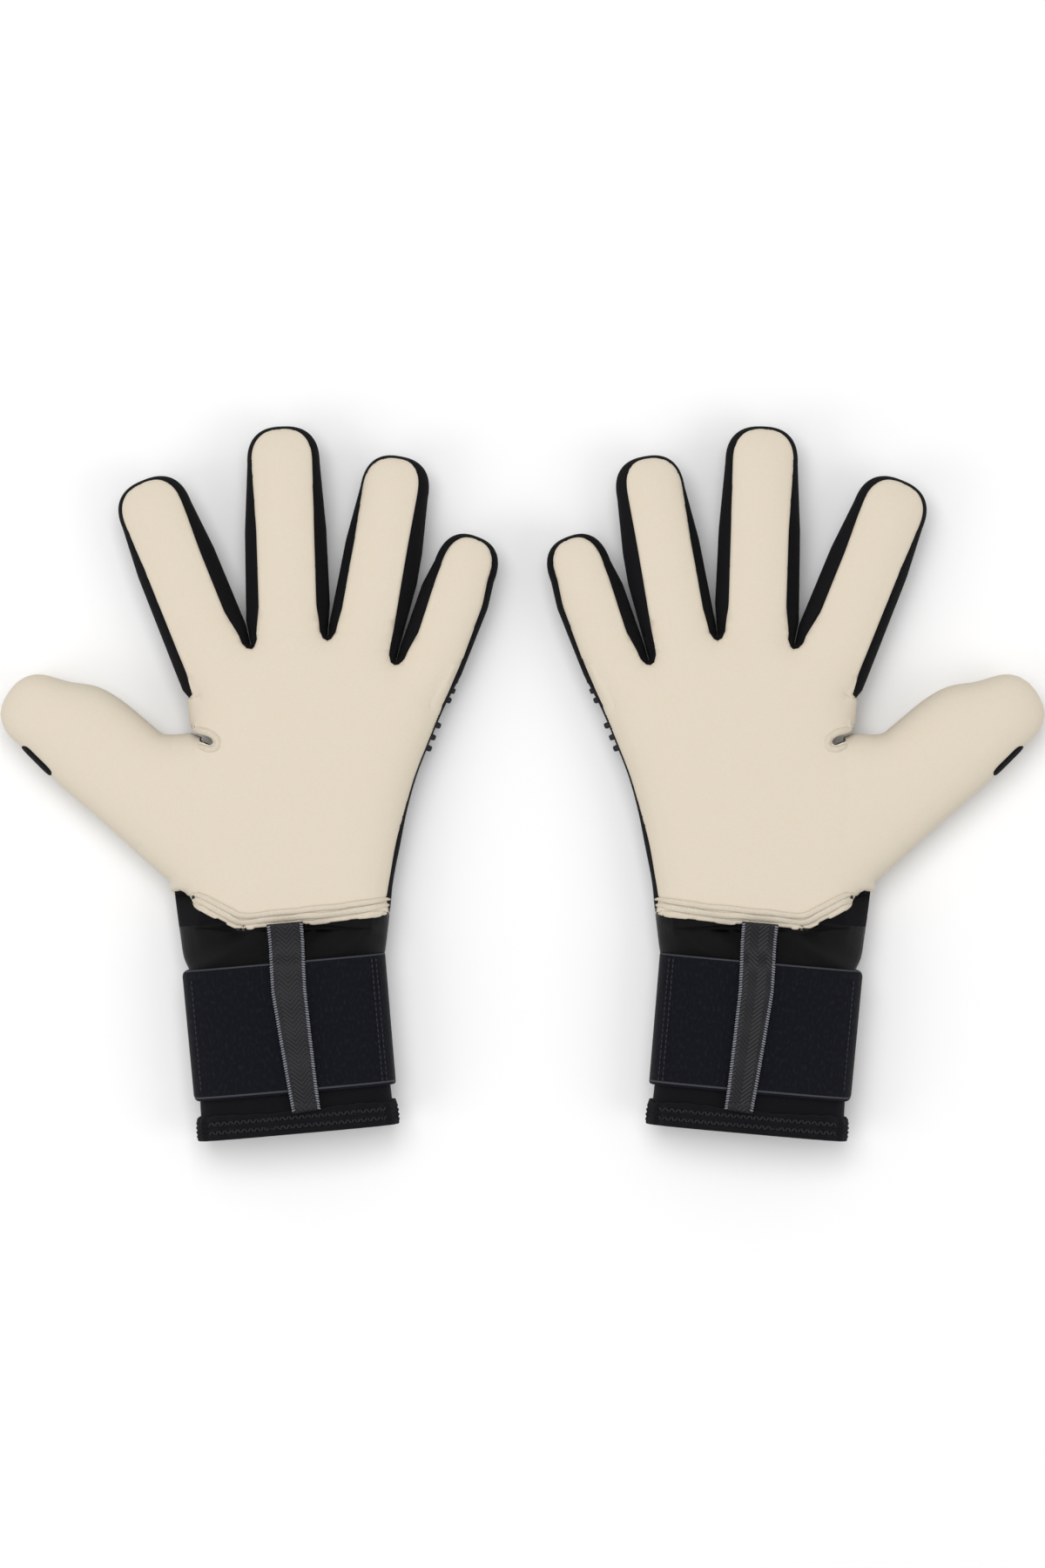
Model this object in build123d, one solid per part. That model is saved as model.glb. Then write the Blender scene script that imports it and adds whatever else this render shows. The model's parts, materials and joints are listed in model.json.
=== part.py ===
"""A pair of goalkeeper gloves, lying side by side on their backs with the palms up.

Every size is in millimetres. The right-hand glove is drawn at +X with its thumb outwards, and the
left-hand glove is its mirror image in the plane X = 0. +Y runs from the cuffs to the fingertips and
+Z is up, from the back of the hand to the palm. The floor is Z = 0.

Each glove is a hollow sleeve for a hand: a latex front, a black fabric shell behind it and a bandage
cuff. A digit is cut at its knuckle and at its middle joint, and each cut is a V on the palm side that
closes as the digit curls.
"""

from build123d import *
import math
import os

# ---------------------------------------------------------------- layers, from the floor upwards
FLOOR = 0.0
PAD_HEIGHT = 3.0            # rubber punch pads on the back of the hand
BACK_THICKNESS = 4.0        # back panel: fabric, foam and lining
CAVITY_HEIGHT = 13.0        # room for the hand
FRONT_THICKNESS = 7.0       # palm laminate: latex foam, backing foam and lining
SIDE_WALL = 2.0             # gusset fabric
BACK_Z = FLOOR + PAD_HEIGHT
CAVITY_Z = BACK_Z + BACK_THICKNESS
SEAM_Z = CAVITY_Z + CAVITY_HEIGHT
FRONT_Z = SEAM_Z + FRONT_THICKNESS

GAP = 0.4                   # half the gap between two parts that turn against each other
FRONT_ROUND = 3.0           # rounding of the latex edges
SHELL_ROUND = 2.5           # rounding of the shell's back edges
REACH = 400.0               # longer than the object, for cutting tools
HEADROOM = 60.0             # taller than the object, for cutting tools

# ---------------------------------------------------------------- digits
# Every digit hinge lies in the seam plane, SEAM_Z, where the latex front meets the shell.
# knuckle: where the base hinge crosses the digit's centreline; lean: degrees from +Y towards +X;
# hinge_lean: the same for the direction square to the base hinge, which is 0 on the fingers, whose
# base hinges all lie along X; length: knuckle to tip; joint: knuckle to middle joint;
# bend: degrees that the digit folds at its base hinge; half_widths: at knuckle, joint and tip;
# corner: rounding of the tip;
# trim: how far the latex front stays inside the shell on the little-finger side and thumb side.
DIGITS = {
    "index": dict(knuckle=(128.5, 62.0), lean=22.0, hinge_lean=0.0, bend=70.0, length=65.0, joint=32.0,
                  half_widths=(15.4, 15.8, 14.2), corner=10.5, trim=(4.6, 2.0)),
    "middle": dict(knuckle=(94.3, 68.0), lean=1.8, hinge_lean=0.0, bend=70.0, length=76.0, joint=38.0,
                   half_widths=(14.9, 16.2, 14.2), corner=10.5, trim=(4.0, 3.4)),
    "ring": dict(knuckle=(61.2, 66.0), lean=-10.5, hinge_lean=0.0, bend=70.0, length=67.0, joint=33.5,
                 half_widths=(14.4, 15.2, 13.8), corner=10.5, trim=(4.8, 2.6)),
    "little": dict(knuckle=(34.5, 56.0), lean=-20.5, hinge_lean=-8.0, bend=70.0, length=46.5, joint=23.0,
                   half_widths=(11.2, 13.0, 12.4), corner=9.5, trim=(2.4, 4.4)),
    "thumb": dict(knuckle=(149.8, -2.5), lean=54.5, hinge_lean=54.5, bend=50.0, length=69.0, joint=34.0,
                  half_widths=(20.5, 18.6, 14.0), corner=11.0, trim=(0.0, 0.0)),
}
JOINT_BEND = 80.0           # degrees that a digit folds at its middle joint
TIP_ROUND_SHARE = 0.44      # largest corner radius at a tip, as a share of the tip's width
STUB = 22.0                 # how far each digit's sleeve runs back into the hand
STUB_OVERLAP = 9.0          # how far it runs past the knuckle before the skewed fold cuts it

# ---------------------------------------------------------------- hand
# The hand's outline without its digits, from the wrist's little-finger side round to its thumb side.
HAND_OUTLINE = [
    (55.0, -63.0), (50.8, -31.8), (44.8, -3.8), (35.0, 24.0), (23.2, 52.0),
    (48.6, 47.6), (79.4, 57.8), (110.9, 54.2), (141.6, 50.0), (134.8, 31.0),
    (134.0, 20.5), (163.0, -20.5), (140.7, -38.0), (139.2, -63.0),
]
# The lower edge of the latex palm, under its turned hem.
HEM_LINE = [(55.0, -48.0), (79.0, -49.5), (113.5, -54.5), (134.5, -44.5)]
HEM_WIDTH = 5.0
HEM_RISE = 1.5              # how far the turned hem stands above the palm
PALM_INSET = 2.6            # how far the latex stays inside the outline on the little-finger side
SLIT_MOUTH = (135.0, 20.6)  # the cut in the latex between thumb and index finger
SLIT_END = (124.5, 15.6)
SLIT_WIDTH = 3.0
BINDING_WIDTH = 3.2         # the rolled edge round that cut
WRIST_PANEL_THICKNESS = 4.0

# ---------------------------------------------------------------- punch pads on the back
PAD_SIZE = (10.0, 7.0)
PAD_TOP_SHARE = 0.55        # how wide a pad is at the floor, as a share of its size
# Each row of pads: where its first and last pads lie, and how many pads it has.
PAD_ROWS = [
    ((57.0, -18.0), (52.0, 30.0), 4),
    ((84.0, -22.0), (82.0, 40.0), 5),
    ((112.0, -20.0), (114.0, 36.0), 5),
]

# ---------------------------------------------------------------- wrist, cuff and strap
WRIST = (96.9, -62.8)       # the wrist hinge crosses the cuff's centreline here
WRIST_Z = 17.0              # the height of the wrist hinge
CUFF_TURN = -5.1            # degrees that the cuff is turned about +Z
WRIST_FLEX = 45.0           # degrees towards the palm
WRIST_EXTEND = 30.0         # degrees towards the back of the hand
CUFF_WIDTH = 77.0
CUFF_LENGTH = 78.0
CUFF_WALL = 3.0
CUFF_HEIGHT = 23.0
CUFF_CORNER = 10.5
STRAP_THICKNESS = 2.2
STRAP_START = 8.5           # from the wrist hinge to the strap
STRAP_HEIGHT = 53.0
LAYER_GAP = 0.3             # between two layers of cloth that can slide
HOOK_THICKNESS = 0.7
TAB_THICKNESS = 2.0
TAB_LENGTH = 48.0
HOOK_MARGIN = 3.0
BAND_HEIGHT = 10.0
BAND_THICKNESS = 1.7
TAPE_WIDTH = 14.0
TAPE_THICKNESS = 1.0
TAPE_OFFSET = -3.7          # from the cuff's centreline
TAPE_FOOT = 9.0             # the sewn foot of the pull tape, above the band
CUFF_Z = FLOOR + TAB_THICKNESS + HOOK_THICKNESS + LAYER_GAP + STRAP_THICKNESS + LAYER_GAP
CUFF_TOP = CUFF_Z + CUFF_HEIGHT
STRAP_TOP = CUFF_TOP + LAYER_GAP + STRAP_THICKNESS


def slab(face, low, high):
    """The prism on a face drawn at Z = 0, from height low to height high."""
    return Pos(0, 0, low) * extrude(face, high - low)


def digit_place(spec):
    """A digit's own frame: +Y along the digit from its knuckle, +X to its thumb side."""
    return Location((*spec["knuckle"], 0), (0, 0, -spec["lean"]))


def digit_face(spec, start, inset=0.0, trim=(0.0, 0.0)):
    """The outline of a digit seen from above in its own frame, from start to its rounded tip."""
    root, joint, tip = (w - inset for w in spec["half_widths"])
    little_side, thumb_side = trim
    corner = min(spec["corner"] - inset, TIP_ROUND_SHARE * (2 * tip - little_side - thumb_side))
    end = spec["length"] - inset - max(trim) / 2
    shoulder = end - corner - 1.0
    profile = [(root, start), (root, 0.0), (joint, spec["joint"]), (tip, shoulder)]
    left = [(little_side - half, y) for half, y in profile]
    right = [(half - thumb_side, y) for half, y in profile]
    outline = left + [(-tip + little_side, end), (tip - thumb_side, end)] + right[::-1]
    face = make_face(Polyline(*outline, close=True).edges())
    return fillet(face.vertices().sort_by(Axis.Y)[-2:], corner)


def fold_side(side, bend, hinge_z=SEAM_Z):
    """One side of a fold whose hinge lies along X at Y = 0: side is +1 for the far side, -1 for the near.

    The cut is square below the hinge. Above it each side gives up half of the bend, so that the two
    meet when the fold is closed.
    """
    rise = HEADROOM - hinge_z
    profile = [
        (side * GAP, -HEADROOM), (side * GAP, hinge_z),
        (side * (GAP + rise * math.tan(math.radians(bend / 2))), HEADROOM),
        (side * REACH, HEADROOM), (side * REACH, -HEADROOM),
    ]
    face = make_face(Polyline(*profile, close=True).edges())
    return Pos(-REACH / 2, 0, 0) * extrude(Plane.YZ * face, REACH)


def knuckle_place(spec):
    """The base hinge's frame: +X along the hinge."""
    return Location((*spec["knuckle"], 0), (0, 0, -spec["hinge_lean"]))


def digit_parts(name, spec):
    """The latex fronts and fabric shells of one digit's base and tip."""
    place = digit_place(spec)
    front = slab(digit_face(spec, -STUB, trim=spec["trim"]), SEAM_Z, FRONT_Z)
    front = place * fillet(front.edges().group_by(Axis.Z)[-1], FRONT_ROUND)
    shell = slab(digit_face(spec, -STUB), BACK_Z, SEAM_Z)
    shell = fillet(shell.edges().group_by(Axis.Z)[0], SHELL_ROUND)
    shell = place * (shell - slab(digit_face(spec, -STUB, inset=SIDE_WALL), CAVITY_Z, SEAM_Z))
    beyond_knuckle = knuckle_place(spec) * fold_side(1, spec["bend"])
    joint = place * Pos(0, spec["joint"], 0)
    before_joint = joint * fold_side(-1, JOINT_BEND)
    beyond_joint = joint * fold_side(1, JOINT_BEND)
    return {
        f"{name}_base_front": front & beyond_knuckle & before_joint,
        f"{name}_base_shell": shell & beyond_knuckle & before_joint,
        f"{name}_tip_front": front & beyond_joint,
        f"{name}_tip_shell": shell & beyond_joint,
    }


def polygon(points):
    return make_face(Polyline(*points, close=True).edges())


def digit_stubs(inset=0.0, trimmed=False):
    """The part of each digit's outline that belongs to the hand, up to just past its knuckle."""
    stubs = []
    window = Pos(0, (STUB_OVERLAP - STUB) / 2) * Rectangle(REACH, STUB + STUB_OVERLAP)
    for spec in DIGITS.values():
        trim = spec["trim"] if trimmed else (0.0, 0.0)
        stubs.append(digit_place(spec) * (digit_face(spec, -STUB, inset, trim) & window))
    return stubs


def knuckle_cuts():
    """What each knuckle fold takes from the hand: its own half of the V, and the digit beyond."""
    cuts = []
    for spec in DIGITS.values():
        width = 2 * (max(spec["half_widths"]) + GAP)
        place = digit_place(spec) * Pos(0, -STUB / 2 + STUB_OVERLAP)
        window = place * Box(width, STUB + 2 * STUB_OVERLAP, 2 * HEADROOM)
        cuts.append(window - knuckle_place(spec) * fold_side(-1, spec["bend"]))
    return cuts


def cuff_place():
    """The cuff's frame: origin on the wrist hinge, -Y along the cuff to its open end."""
    return Location((*WRIST, 0), (0, 0, CUFF_TURN))


def wrist_side(side):
    """What is kept on the hand's side (+1) or the cuff's side (-1) of the wrist's two V folds."""
    flex = fold_side(side, WRIST_FLEX, WRIST_Z)
    extend = Pos(0, 0, 2 * WRIST_Z) * mirror(fold_side(side, WRIST_EXTEND, WRIST_Z), Plane.XY)
    return cuff_place() * (flex & extend)


def hem_face(low, high):
    """A strip along the hem line, from low to high millimetres above it in Y."""
    lower = [(x, y + low) for x, y in HEM_LINE]
    upper = [(x, y + high) for x, y in HEM_LINE[::-1]]
    return polygon(lower + upper)


def slit_face(width):
    """The cut between thumb and index finger, with a round inner end."""
    (x0, y0), (x1, y1) = SLIT_MOUTH, SLIT_END
    length = math.hypot(x0 - x1, y0 - y1)
    angle = math.degrees(math.atan2(y0 - y1, x0 - x1))
    slot = Pos(length, 0) * Rectangle(2 * length, width) + Circle(width / 2)
    return Pos(x1, y1) * Rot(0, 0, angle) * slot


def above_hem():
    """Everything on the finger side of the hem strip."""
    lower = [(x, y + HEM_WIDTH) for x, y in HEM_LINE]
    far = [(REACH, lower[-1][1]), (REACH, REACH), (-REACH, REACH), (-REACH, lower[0][1])]
    return polygon(lower + far)


def below_hem(overlap):
    """Everything on the cuff side of the hem line, and overlap millimetres of what lies under the hem."""
    upper = [(x, y + overlap) for x, y in HEM_LINE]
    far = [(REACH, upper[-1][1]), (REACH, -REACH), (-REACH, -REACH), (-REACH, upper[0][1])]
    return polygon(upper + far)


def hand_parts():
    """The hand's latex palm, its trim, its fabric shell, the front wrist panel and the punch pads."""
    outline = polygon(HAND_OUTLINE)
    outer = outline
    for stub in digit_stubs():
        outer += stub
    inner_outline = offset(outline, -SIDE_WALL)
    inner = inner_outline
    for stub in digit_stubs(inset=SIDE_WALL):
        inner += stub
    wrist_mouth = cuff_place() * Pos(0, 0) * Rectangle(CUFF_WIDTH, 2 * CUFF_WALL)
    inner += wrist_mouth & outline
    latex = offset(outline, -PALM_INSET) & above_hem()
    for stub in digit_stubs(trimmed=True):
        latex += stub & above_hem()
    latex -= slit_face(SLIT_WIDTH + 2 * BINDING_WIDTH)

    folds = knuckle_cuts()
    hand_side = wrist_side(1)

    def folded(solid):
        for fold in folds:
            solid -= fold
        return solid & hand_side

    palm = slab(latex, SEAM_Z, FRONT_Z)
    shell = slab(outer, BACK_Z, SEAM_Z) - slab(inner, CAVITY_Z, SEAM_Z)
    panel = slab(inner_outline & below_hem(HEM_WIDTH), SEAM_Z - WRIST_PANEL_THICKNESS, SEAM_Z)
    hem = slab(hem_face(0.0, HEM_WIDTH) & offset(outline, -PALM_INSET), SEAM_Z, FRONT_Z + HEM_RISE)
    binding_outer = slit_face(SLIT_WIDTH + 2 * BINDING_WIDTH) & offset(outline, -PALM_INSET / 2)
    binding = slab(binding_outer - slit_face(SLIT_WIDTH), SEAM_Z, FRONT_Z + HEM_RISE)
    return {
        "palm_latex": folded(palm),
        "palm_trim": Compound([*folded(hem).solids(), *folded(binding).solids()]),
        "hand_shell": folded(shell),
        "wrist_panel": folded(panel),
        "punch_pads": Compound(punch_pads()),
    }


def punch_pads():
    """Rows of blunt rubber pyramids under the back of the hand."""
    pads = []
    width, length = PAD_SIZE
    for (x0, y0), (x1, y1), count in PAD_ROWS:
        for step in range(count):
            share = step / (count - 1)
            place = Pos(x0 + (x1 - x0) * share, y0 + (y1 - y0) * share, 0)
            foot = Pos(0, 0, FLOOR) * Rectangle(width * PAD_TOP_SHARE, length * PAD_TOP_SHARE)
            root = Pos(0, 0, BACK_Z) * Rectangle(width, length)
            pads.append(place * loft([foot, root]))
    return pads


def ring_section(grow, wall):
    """A flattened ring round the cuff's outer section, grown outwards by grow."""
    outer = RectangleRounded(CUFF_WIDTH + 2 * grow, CUFF_HEIGHT + 2 * grow, CUFF_CORNER + grow)
    inset = grow - wall
    inner = RectangleRounded(CUFF_WIDTH + 2 * inset, CUFF_HEIGHT + 2 * inset, CUFF_CORNER + inset)
    return outer - inner


def cuff_ring(grow, wall, start, length):
    """A ring round the cuff, from start millimetres below the wrist hinge."""
    section = Plane.XZ * ring_section(grow, wall)
    centre_z = CUFF_Z + CUFF_HEIGHT / 2
    return Pos(0, -start, centre_z) * extrude(section, length)


def strap_tab():
    """The strap's free end with its hook patch, closed against the back of the wrist."""
    fold_x = -tab_fold()
    elastic = Box(TAB_LENGTH, STRAP_HEIGHT, TAB_THICKNESS, align=(Align.MIN, Align.MAX, Align.MIN))
    corners = elastic.edges().filter_by(Axis.Z).sort_by(Axis.X)[-2:]
    elastic = fillet(corners, 4.0)
    hook = Box(TAB_LENGTH - 2 * HOOK_MARGIN, STRAP_HEIGHT - 2 * HOOK_MARGIN, HOOK_THICKNESS,
               align=(Align.MIN, Align.MAX, Align.MIN))
    elastic = Pos(fold_x, -STRAP_START, FLOOR) * elastic
    hook = Pos(fold_x + HOOK_MARGIN, -STRAP_START - HOOK_MARGIN, FLOOR + TAB_THICKNESS) * hook
    return Compound([elastic, hook])


def tab_fold():
    """How far the fold that the tab turns on lies from the cuff's centreline: where its flat back begins."""
    return CUFF_WIDTH / 2 - CUFF_CORNER


def pull_tape():
    """The tape over the strap, sewn down on the cuff just above the band."""
    over = STRAP_TOP + LAYER_GAP
    start = STRAP_START - LAYER_GAP
    strap_end = STRAP_START + STRAP_HEIGHT
    foot_z = CUFF_TOP
    foot_end = CUFF_LENGTH - BAND_HEIGHT - LAYER_GAP
    foot_start = max(strap_end + TAPE_THICKNESS + LAYER_GAP, foot_end - TAPE_FOOT)
    outline = [
        (-start, over), (-start, over + TAPE_THICKNESS), (-foot_start - TAPE_THICKNESS, over + TAPE_THICKNESS),
        (-foot_start - TAPE_THICKNESS, foot_z + TAPE_THICKNESS), (-foot_end, foot_z + TAPE_THICKNESS),
        (-foot_end, foot_z), (-foot_start, foot_z), (-foot_start, over),
    ]
    face = make_face(Polyline(*outline, close=True).edges())
    return Pos(TAPE_OFFSET - TAPE_WIDTH / 2, 0, 0) * extrude(Plane.YZ * face, TAPE_WIDTH)


def cuff_parts():
    """The cuff tube, its elastic band, the wrist strap, the strap's tab and the pull tape."""
    place = cuff_place()
    cuff_side = wrist_side(-1)
    return {
        "cuff": (place * cuff_ring(0.0, CUFF_WALL, 0.0, CUFF_LENGTH - 1.0)) & cuff_side,
        "cuff_band": place * cuff_ring(BAND_THICKNESS, BAND_THICKNESS, CUFF_LENGTH - BAND_HEIGHT, BAND_HEIGHT),
        "wrist_strap": place * cuff_ring(LAYER_GAP + STRAP_THICKNESS, STRAP_THICKNESS, STRAP_START, STRAP_HEIGHT),
        "strap_tab": place * strap_tab(),
        "pull_tape": place * pull_tape(),
    }


def glove():
    """Every piece of the right-hand glove, by name."""
    pieces = {**hand_parts(), **cuff_parts()}
    for name, spec in DIGITS.items():
        pieces.update(digit_parts(name, spec))
    return pieces


def main():
    os.makedirs("parts", exist_ok=True)
    for name, piece in glove().items():
        for side in ("right", "left"):
            solids = piece.solids() if side == "right" else mirror(piece, Plane.YZ).solids()
            export_step(Compound(list(solids)), f"parts/{side}_{name}.step")


main()
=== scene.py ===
"""A pair of goalkeeper gloves: latex palms, knit gussets, elastic straps and bandage cuffs.

Both gloves lie on their backs. Lengths in this file are millimetres until a mesh is made. The
right-hand glove is worked out, with its thumb towards +X, and the left-hand one is its mirror image.
"""

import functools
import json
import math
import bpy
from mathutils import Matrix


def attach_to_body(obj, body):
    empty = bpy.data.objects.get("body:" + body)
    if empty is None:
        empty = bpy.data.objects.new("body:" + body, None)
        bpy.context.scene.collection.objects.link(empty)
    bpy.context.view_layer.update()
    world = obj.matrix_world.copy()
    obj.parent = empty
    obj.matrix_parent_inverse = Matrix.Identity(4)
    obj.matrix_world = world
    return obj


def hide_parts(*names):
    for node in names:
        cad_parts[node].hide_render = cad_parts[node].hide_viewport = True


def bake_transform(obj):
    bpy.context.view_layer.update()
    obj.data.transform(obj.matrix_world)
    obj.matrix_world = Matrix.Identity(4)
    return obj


bl_info = {
    "name": "Goalkeeper gloves",
    "version": (1, 0, 0),
    "blender": (4, 5, 0),
    "location": "3D View > Sidebar > Gloves",
    "description": "Makes the pieces and finishes of a pair of goalkeeper gloves",
    "category": "Object",
}

import bpy
import numpy as np
from mathutils import Matrix, Vector, geometry
from mathutils.bvhtree import BVHTree

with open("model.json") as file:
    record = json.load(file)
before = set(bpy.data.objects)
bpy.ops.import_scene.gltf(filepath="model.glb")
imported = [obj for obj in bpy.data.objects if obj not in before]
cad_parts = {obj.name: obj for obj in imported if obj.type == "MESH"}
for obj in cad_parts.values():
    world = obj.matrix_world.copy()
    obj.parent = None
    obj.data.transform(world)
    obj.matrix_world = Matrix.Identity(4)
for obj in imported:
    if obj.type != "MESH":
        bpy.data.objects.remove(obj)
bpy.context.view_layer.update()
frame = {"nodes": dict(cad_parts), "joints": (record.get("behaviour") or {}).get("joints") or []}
MM = 0.001
SIDES = (("right", 1.0), ("left", -1.0))
FINGERS = ("little", "ring", "middle", "index")
DIGITS = FINGERS + ("thumb",)


# ------------------------------------------------------------------ sizes that a user would change
def millimetres(name, default, description):
    return bpy.props.FloatProperty(name=name, default=default, description=description, min=0.0)


def colour(name, default, description):
    return bpy.props.StringProperty(name=name, default=default, description=description + ", sRGB hex")


class GloveSizes(bpy.types.PropertyGroup):
    """Sizes of the gloves' layers, in millimetres."""

    palm_half: millimetres("Palm half thickness", 12.6, "Half the thickness of the filled palm")
    reach: millimetres("Rounding reach", 10.0, "How far in from an edge the filled shape keeps rising")
    latex: millimetres("Latex thickness", 1.5, "How far the latex stands above the fabric")
    latex_roll: millimetres("Latex roll", 1.9, "Width over which the latex edge rolls down to its seam")
    back_panel: millimetres("Back panel thickness", 0.9, "How far the back panel stands above the gussets")
    back_roll: millimetres("Back panel roll", 1.2, "Width over which the back panel's edge rolls down")
    grid: millimetres("Grid", 1.7, "Spacing of the points inside the hand's surface")


class GloveColours(bpy.types.PropertyGroup):
    """Colours of the gloves' materials."""

    latex: colour("Latex", "D9CEBC", "Cream foam latex")
    knit: colour("Knit", "070709", "Black rib knit")
    jersey: colour("Jersey", "050506", "Black jersey")
    rubber: colour("Rubber", "16161A", "Black moulded rubber")
    elastic: colour("Elastic", "08090F", "Navy black woven elastic")
    selvedge: colour("Selvedge", "7C7E86", "Grey edge yarn")
    thread: colour("Thread", "2A2A2E", "Black nylon thread")
    tape: colour("Tape", "09090B", "Black satin twill tape")


# ------------------------------------------------------------------ where the digits lie
def joint(name):
    return next(j for j in frame["joints"] if j["name"] == name)


def flat(point_m):
    """A point of the frame seen from above, in millimetres."""
    return np.array(point_m[:2]) / MM


class Digit:
    """A digit's centreline and the lines across it where it bends and where its pieces meet."""

    def __init__(self, name):
        base, tip = joint(f"right_{name}_base_bend"), joint(f"right_{name}_tip_bend")
        self.name = name
        self.knuckle, self.middle = flat(base["pos_m"]), flat(tip["pos_m"])
        along = self.middle - self.knuckle
        self.joint = float(np.hypot(*along))
        self.along = along / self.joint
        self.across = np.array([self.along[1], -self.along[0]])
        axis = np.array(base["axis"][:2])
        self.square = np.array([-axis[1], axis[0]]) / np.hypot(*axis)
        mesh = frame["nodes"][f"right_{name}_tip_shell"].data
        points = np.array([v.co[:2] for v in mesh.vertices]) / MM
        self.length = float(((points - self.knuckle) @ self.along).max())
        self.bend_from, self.bend_to = BEND_ZONES[name]
        self.tip_from = self.joint - TIP_ZONE[name]
        self.tip_to = self.joint + TIP_ZONE[name]
        self.split = (self.bend_to + self.tip_from) / 2

    def at(self, along, across=0.0):
        """The point at a distance along the digit from its knuckle, and across it to its thumb side."""
        return self.knuckle + self.along * along + self.across * across


# From and to, along the direction square to the knuckle hinge: where the fabric starts and stops bending.
BEND_ZONES = {"little": (-6.5, 11.0), "ring": (-6.2, 11.5), "middle": (-8.2, 10.5), "index": (-6.0, 12.0),
              "thumb": (-10.0, 12.0)}
TIP_ZONE = {"little": 9.0, "ring": 10.0, "middle": 10.5, "index": 9.5, "thumb": 10.5}

# Half the width of each finger at its root, middle and tip, and how much gusset shows beside the
# latex there, on the thumb side and on the little-finger side.
HALF_WIDTH = {"little": (13.4, 14.1, 12.7), "ring": (16.1, 15.6, 13.8), "middle": (17.2, 16.4, 14.6),
              "index": (16.8, 16.4, 14.8)}
GUSSET_THUMB_SIDE = {"little": (5.6, 4.8, 3.2), "ring": (4.4, 3.7, 1.4), "middle": (5.8, 5.0, 2.2),
                     "index": (4.4, 4.0, 2.1)}
GUSSET_LITTLE_SIDE = {"little": (1.7, 2.6, 2.8), "ring": (6.0, 6.1, 4.4), "middle": (5.6, 4.8, 3.0),
                      "index": (6.0, 5.6, 3.4)}
TIP_RIM = 1.6               # gusset that shows past the latex at a fingertip
CAP = 15.0                  # length over which a fingertip rounds off
CAP_POWER = 2.5             # 2 is an ellipse, more is squarer
SLOT = 0.15                 # half the gap between two fingers that touch
WEB = {"ring": 49.6, "middle": 59.8, "index": 56.2}     # Y of the web on each finger's little side
WEB_LATEX_DROP = 2.4        # how far below the web the latex's narrow U ends
WEB_LATEX_HALF = 3.3        # half the width of that U
SLIT_SHARE = 0.55           # how high the slit's blind end stands, as a share of the palm

# The hand's edge seen from above, from the wrist up to the little finger.
LITTLE_EDGE = [(56.5, -80.0), (56.0, -72.0), (54.8, -64.0), (53.2, -50.0), (52.0, -38.8), (49.3, -24.8),
               (46.5, -10.8), (42.7, 3.0), (37.3, 17.0), (31.4, 31.0)]
# From the index finger down to the slit, round it, round the thumb and down to the wrist.
SLIT_EDGE = [(133.4, 33.0), (132.6, 26.5), (131.4, 22.6), (128.5, 20.0), (124.6, 18.4), (123.2, 16.6),
             (124.6, 15.2), (128.0, 16.8), (133.4, 19.0)]
THUMB_EDGE = [(140.4, 18.4), (145.6, 19.0), (150.5, 22.8), (162.4, 32.6), (171.9, 37.8), (182.7, 39.7),
              (194.2, 42.6), (201.4, 40.6), (206.6, 34.6), (208.6, 27.6), (205.6, 20.6), (198.0, 13.6),
              (184.0, -0.4), (167.4, -14.6), (148.6, -31.6), (140.6, -38.4)]
WRIST_EDGE = [(139.4, -48.7), (137.6, -61.9), (136.2, -70.0), (133.0, -77.5), (131.6, -86.5)]
# The latex's lower edge, from its thumb side to its little-finger side.
HEM_LINE = [(134.4, -44.6), (131.9, -48.0), (113.4, -57.4), (84.0, -54.8), (53.6, -51.3)]


def interpolate(stations, values, s):
    return np.interp(s, stations, values)


def spline(points, step):
    """A smooth curve through points, with about one point for every step millimetres."""
    p = np.array(points, float)
    p = np.vstack([2 * p[0] - p[1], p, 2 * p[-1] - p[-2]])
    out = []
    for a, b, c, d in zip(p, p[1:], p[2:], p[3:]):
        count = max(1, round(float(np.hypot(*(c - b))) / step))
        t = (np.arange(count) / count)[:, None]
        out.append(0.5 * (2 * b + (c - a) * t + (2 * a - 5 * b + 4 * c - d) * t**2
                          + (3 * b - a - 3 * c + d) * t**3))
    return np.vstack(out + [p[-2:-1]])


def straight(points, step):
    """A polyline through points, with about one point for every step millimetres."""
    out = []
    for a, b in zip(np.array(points, float), np.array(points, float)[1:]):
        count = max(1, round(float(np.hypot(*(b - a))) / step))
        out.append(a + (b - a) * (np.arange(count) / count)[:, None])
    return np.vstack(out + [np.array(points[-1:], float)])


# ------------------------------------------------------------------ outlines seen from above
@functools.cache
def digits():
    return {name: Digit(name) for name in DIGITS}


def finger_half(digit, s, inset=0.0, little_trim=None):
    """Half the finger's width at distance s along it, rounding off at its tip."""
    stations = (-12.0, digit.length * 0.45, digit.length - CAP)
    half = interpolate(stations, HALF_WIDTH[digit.name], s)
    if little_trim is not None:
        half = half - interpolate(stations, little_trim[digit.name], s)
    cap = np.clip((s - (digit.length - CAP)) / (CAP - inset), 0.0, 1.0)
    return half * (1.0 - cap**CAP_POWER) ** (1.0 / CAP_POWER)


def middle_line_half(digit, other, s, sign):
    """How far across the finger the line midway between it and its neighbour lies."""
    centre = digit.knuckle + digit.along * s
    to_other = sign * float((other.knuckle - centre) @ other.across)
    return to_other / (1.0 + float(digit.across @ other.across))


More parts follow.
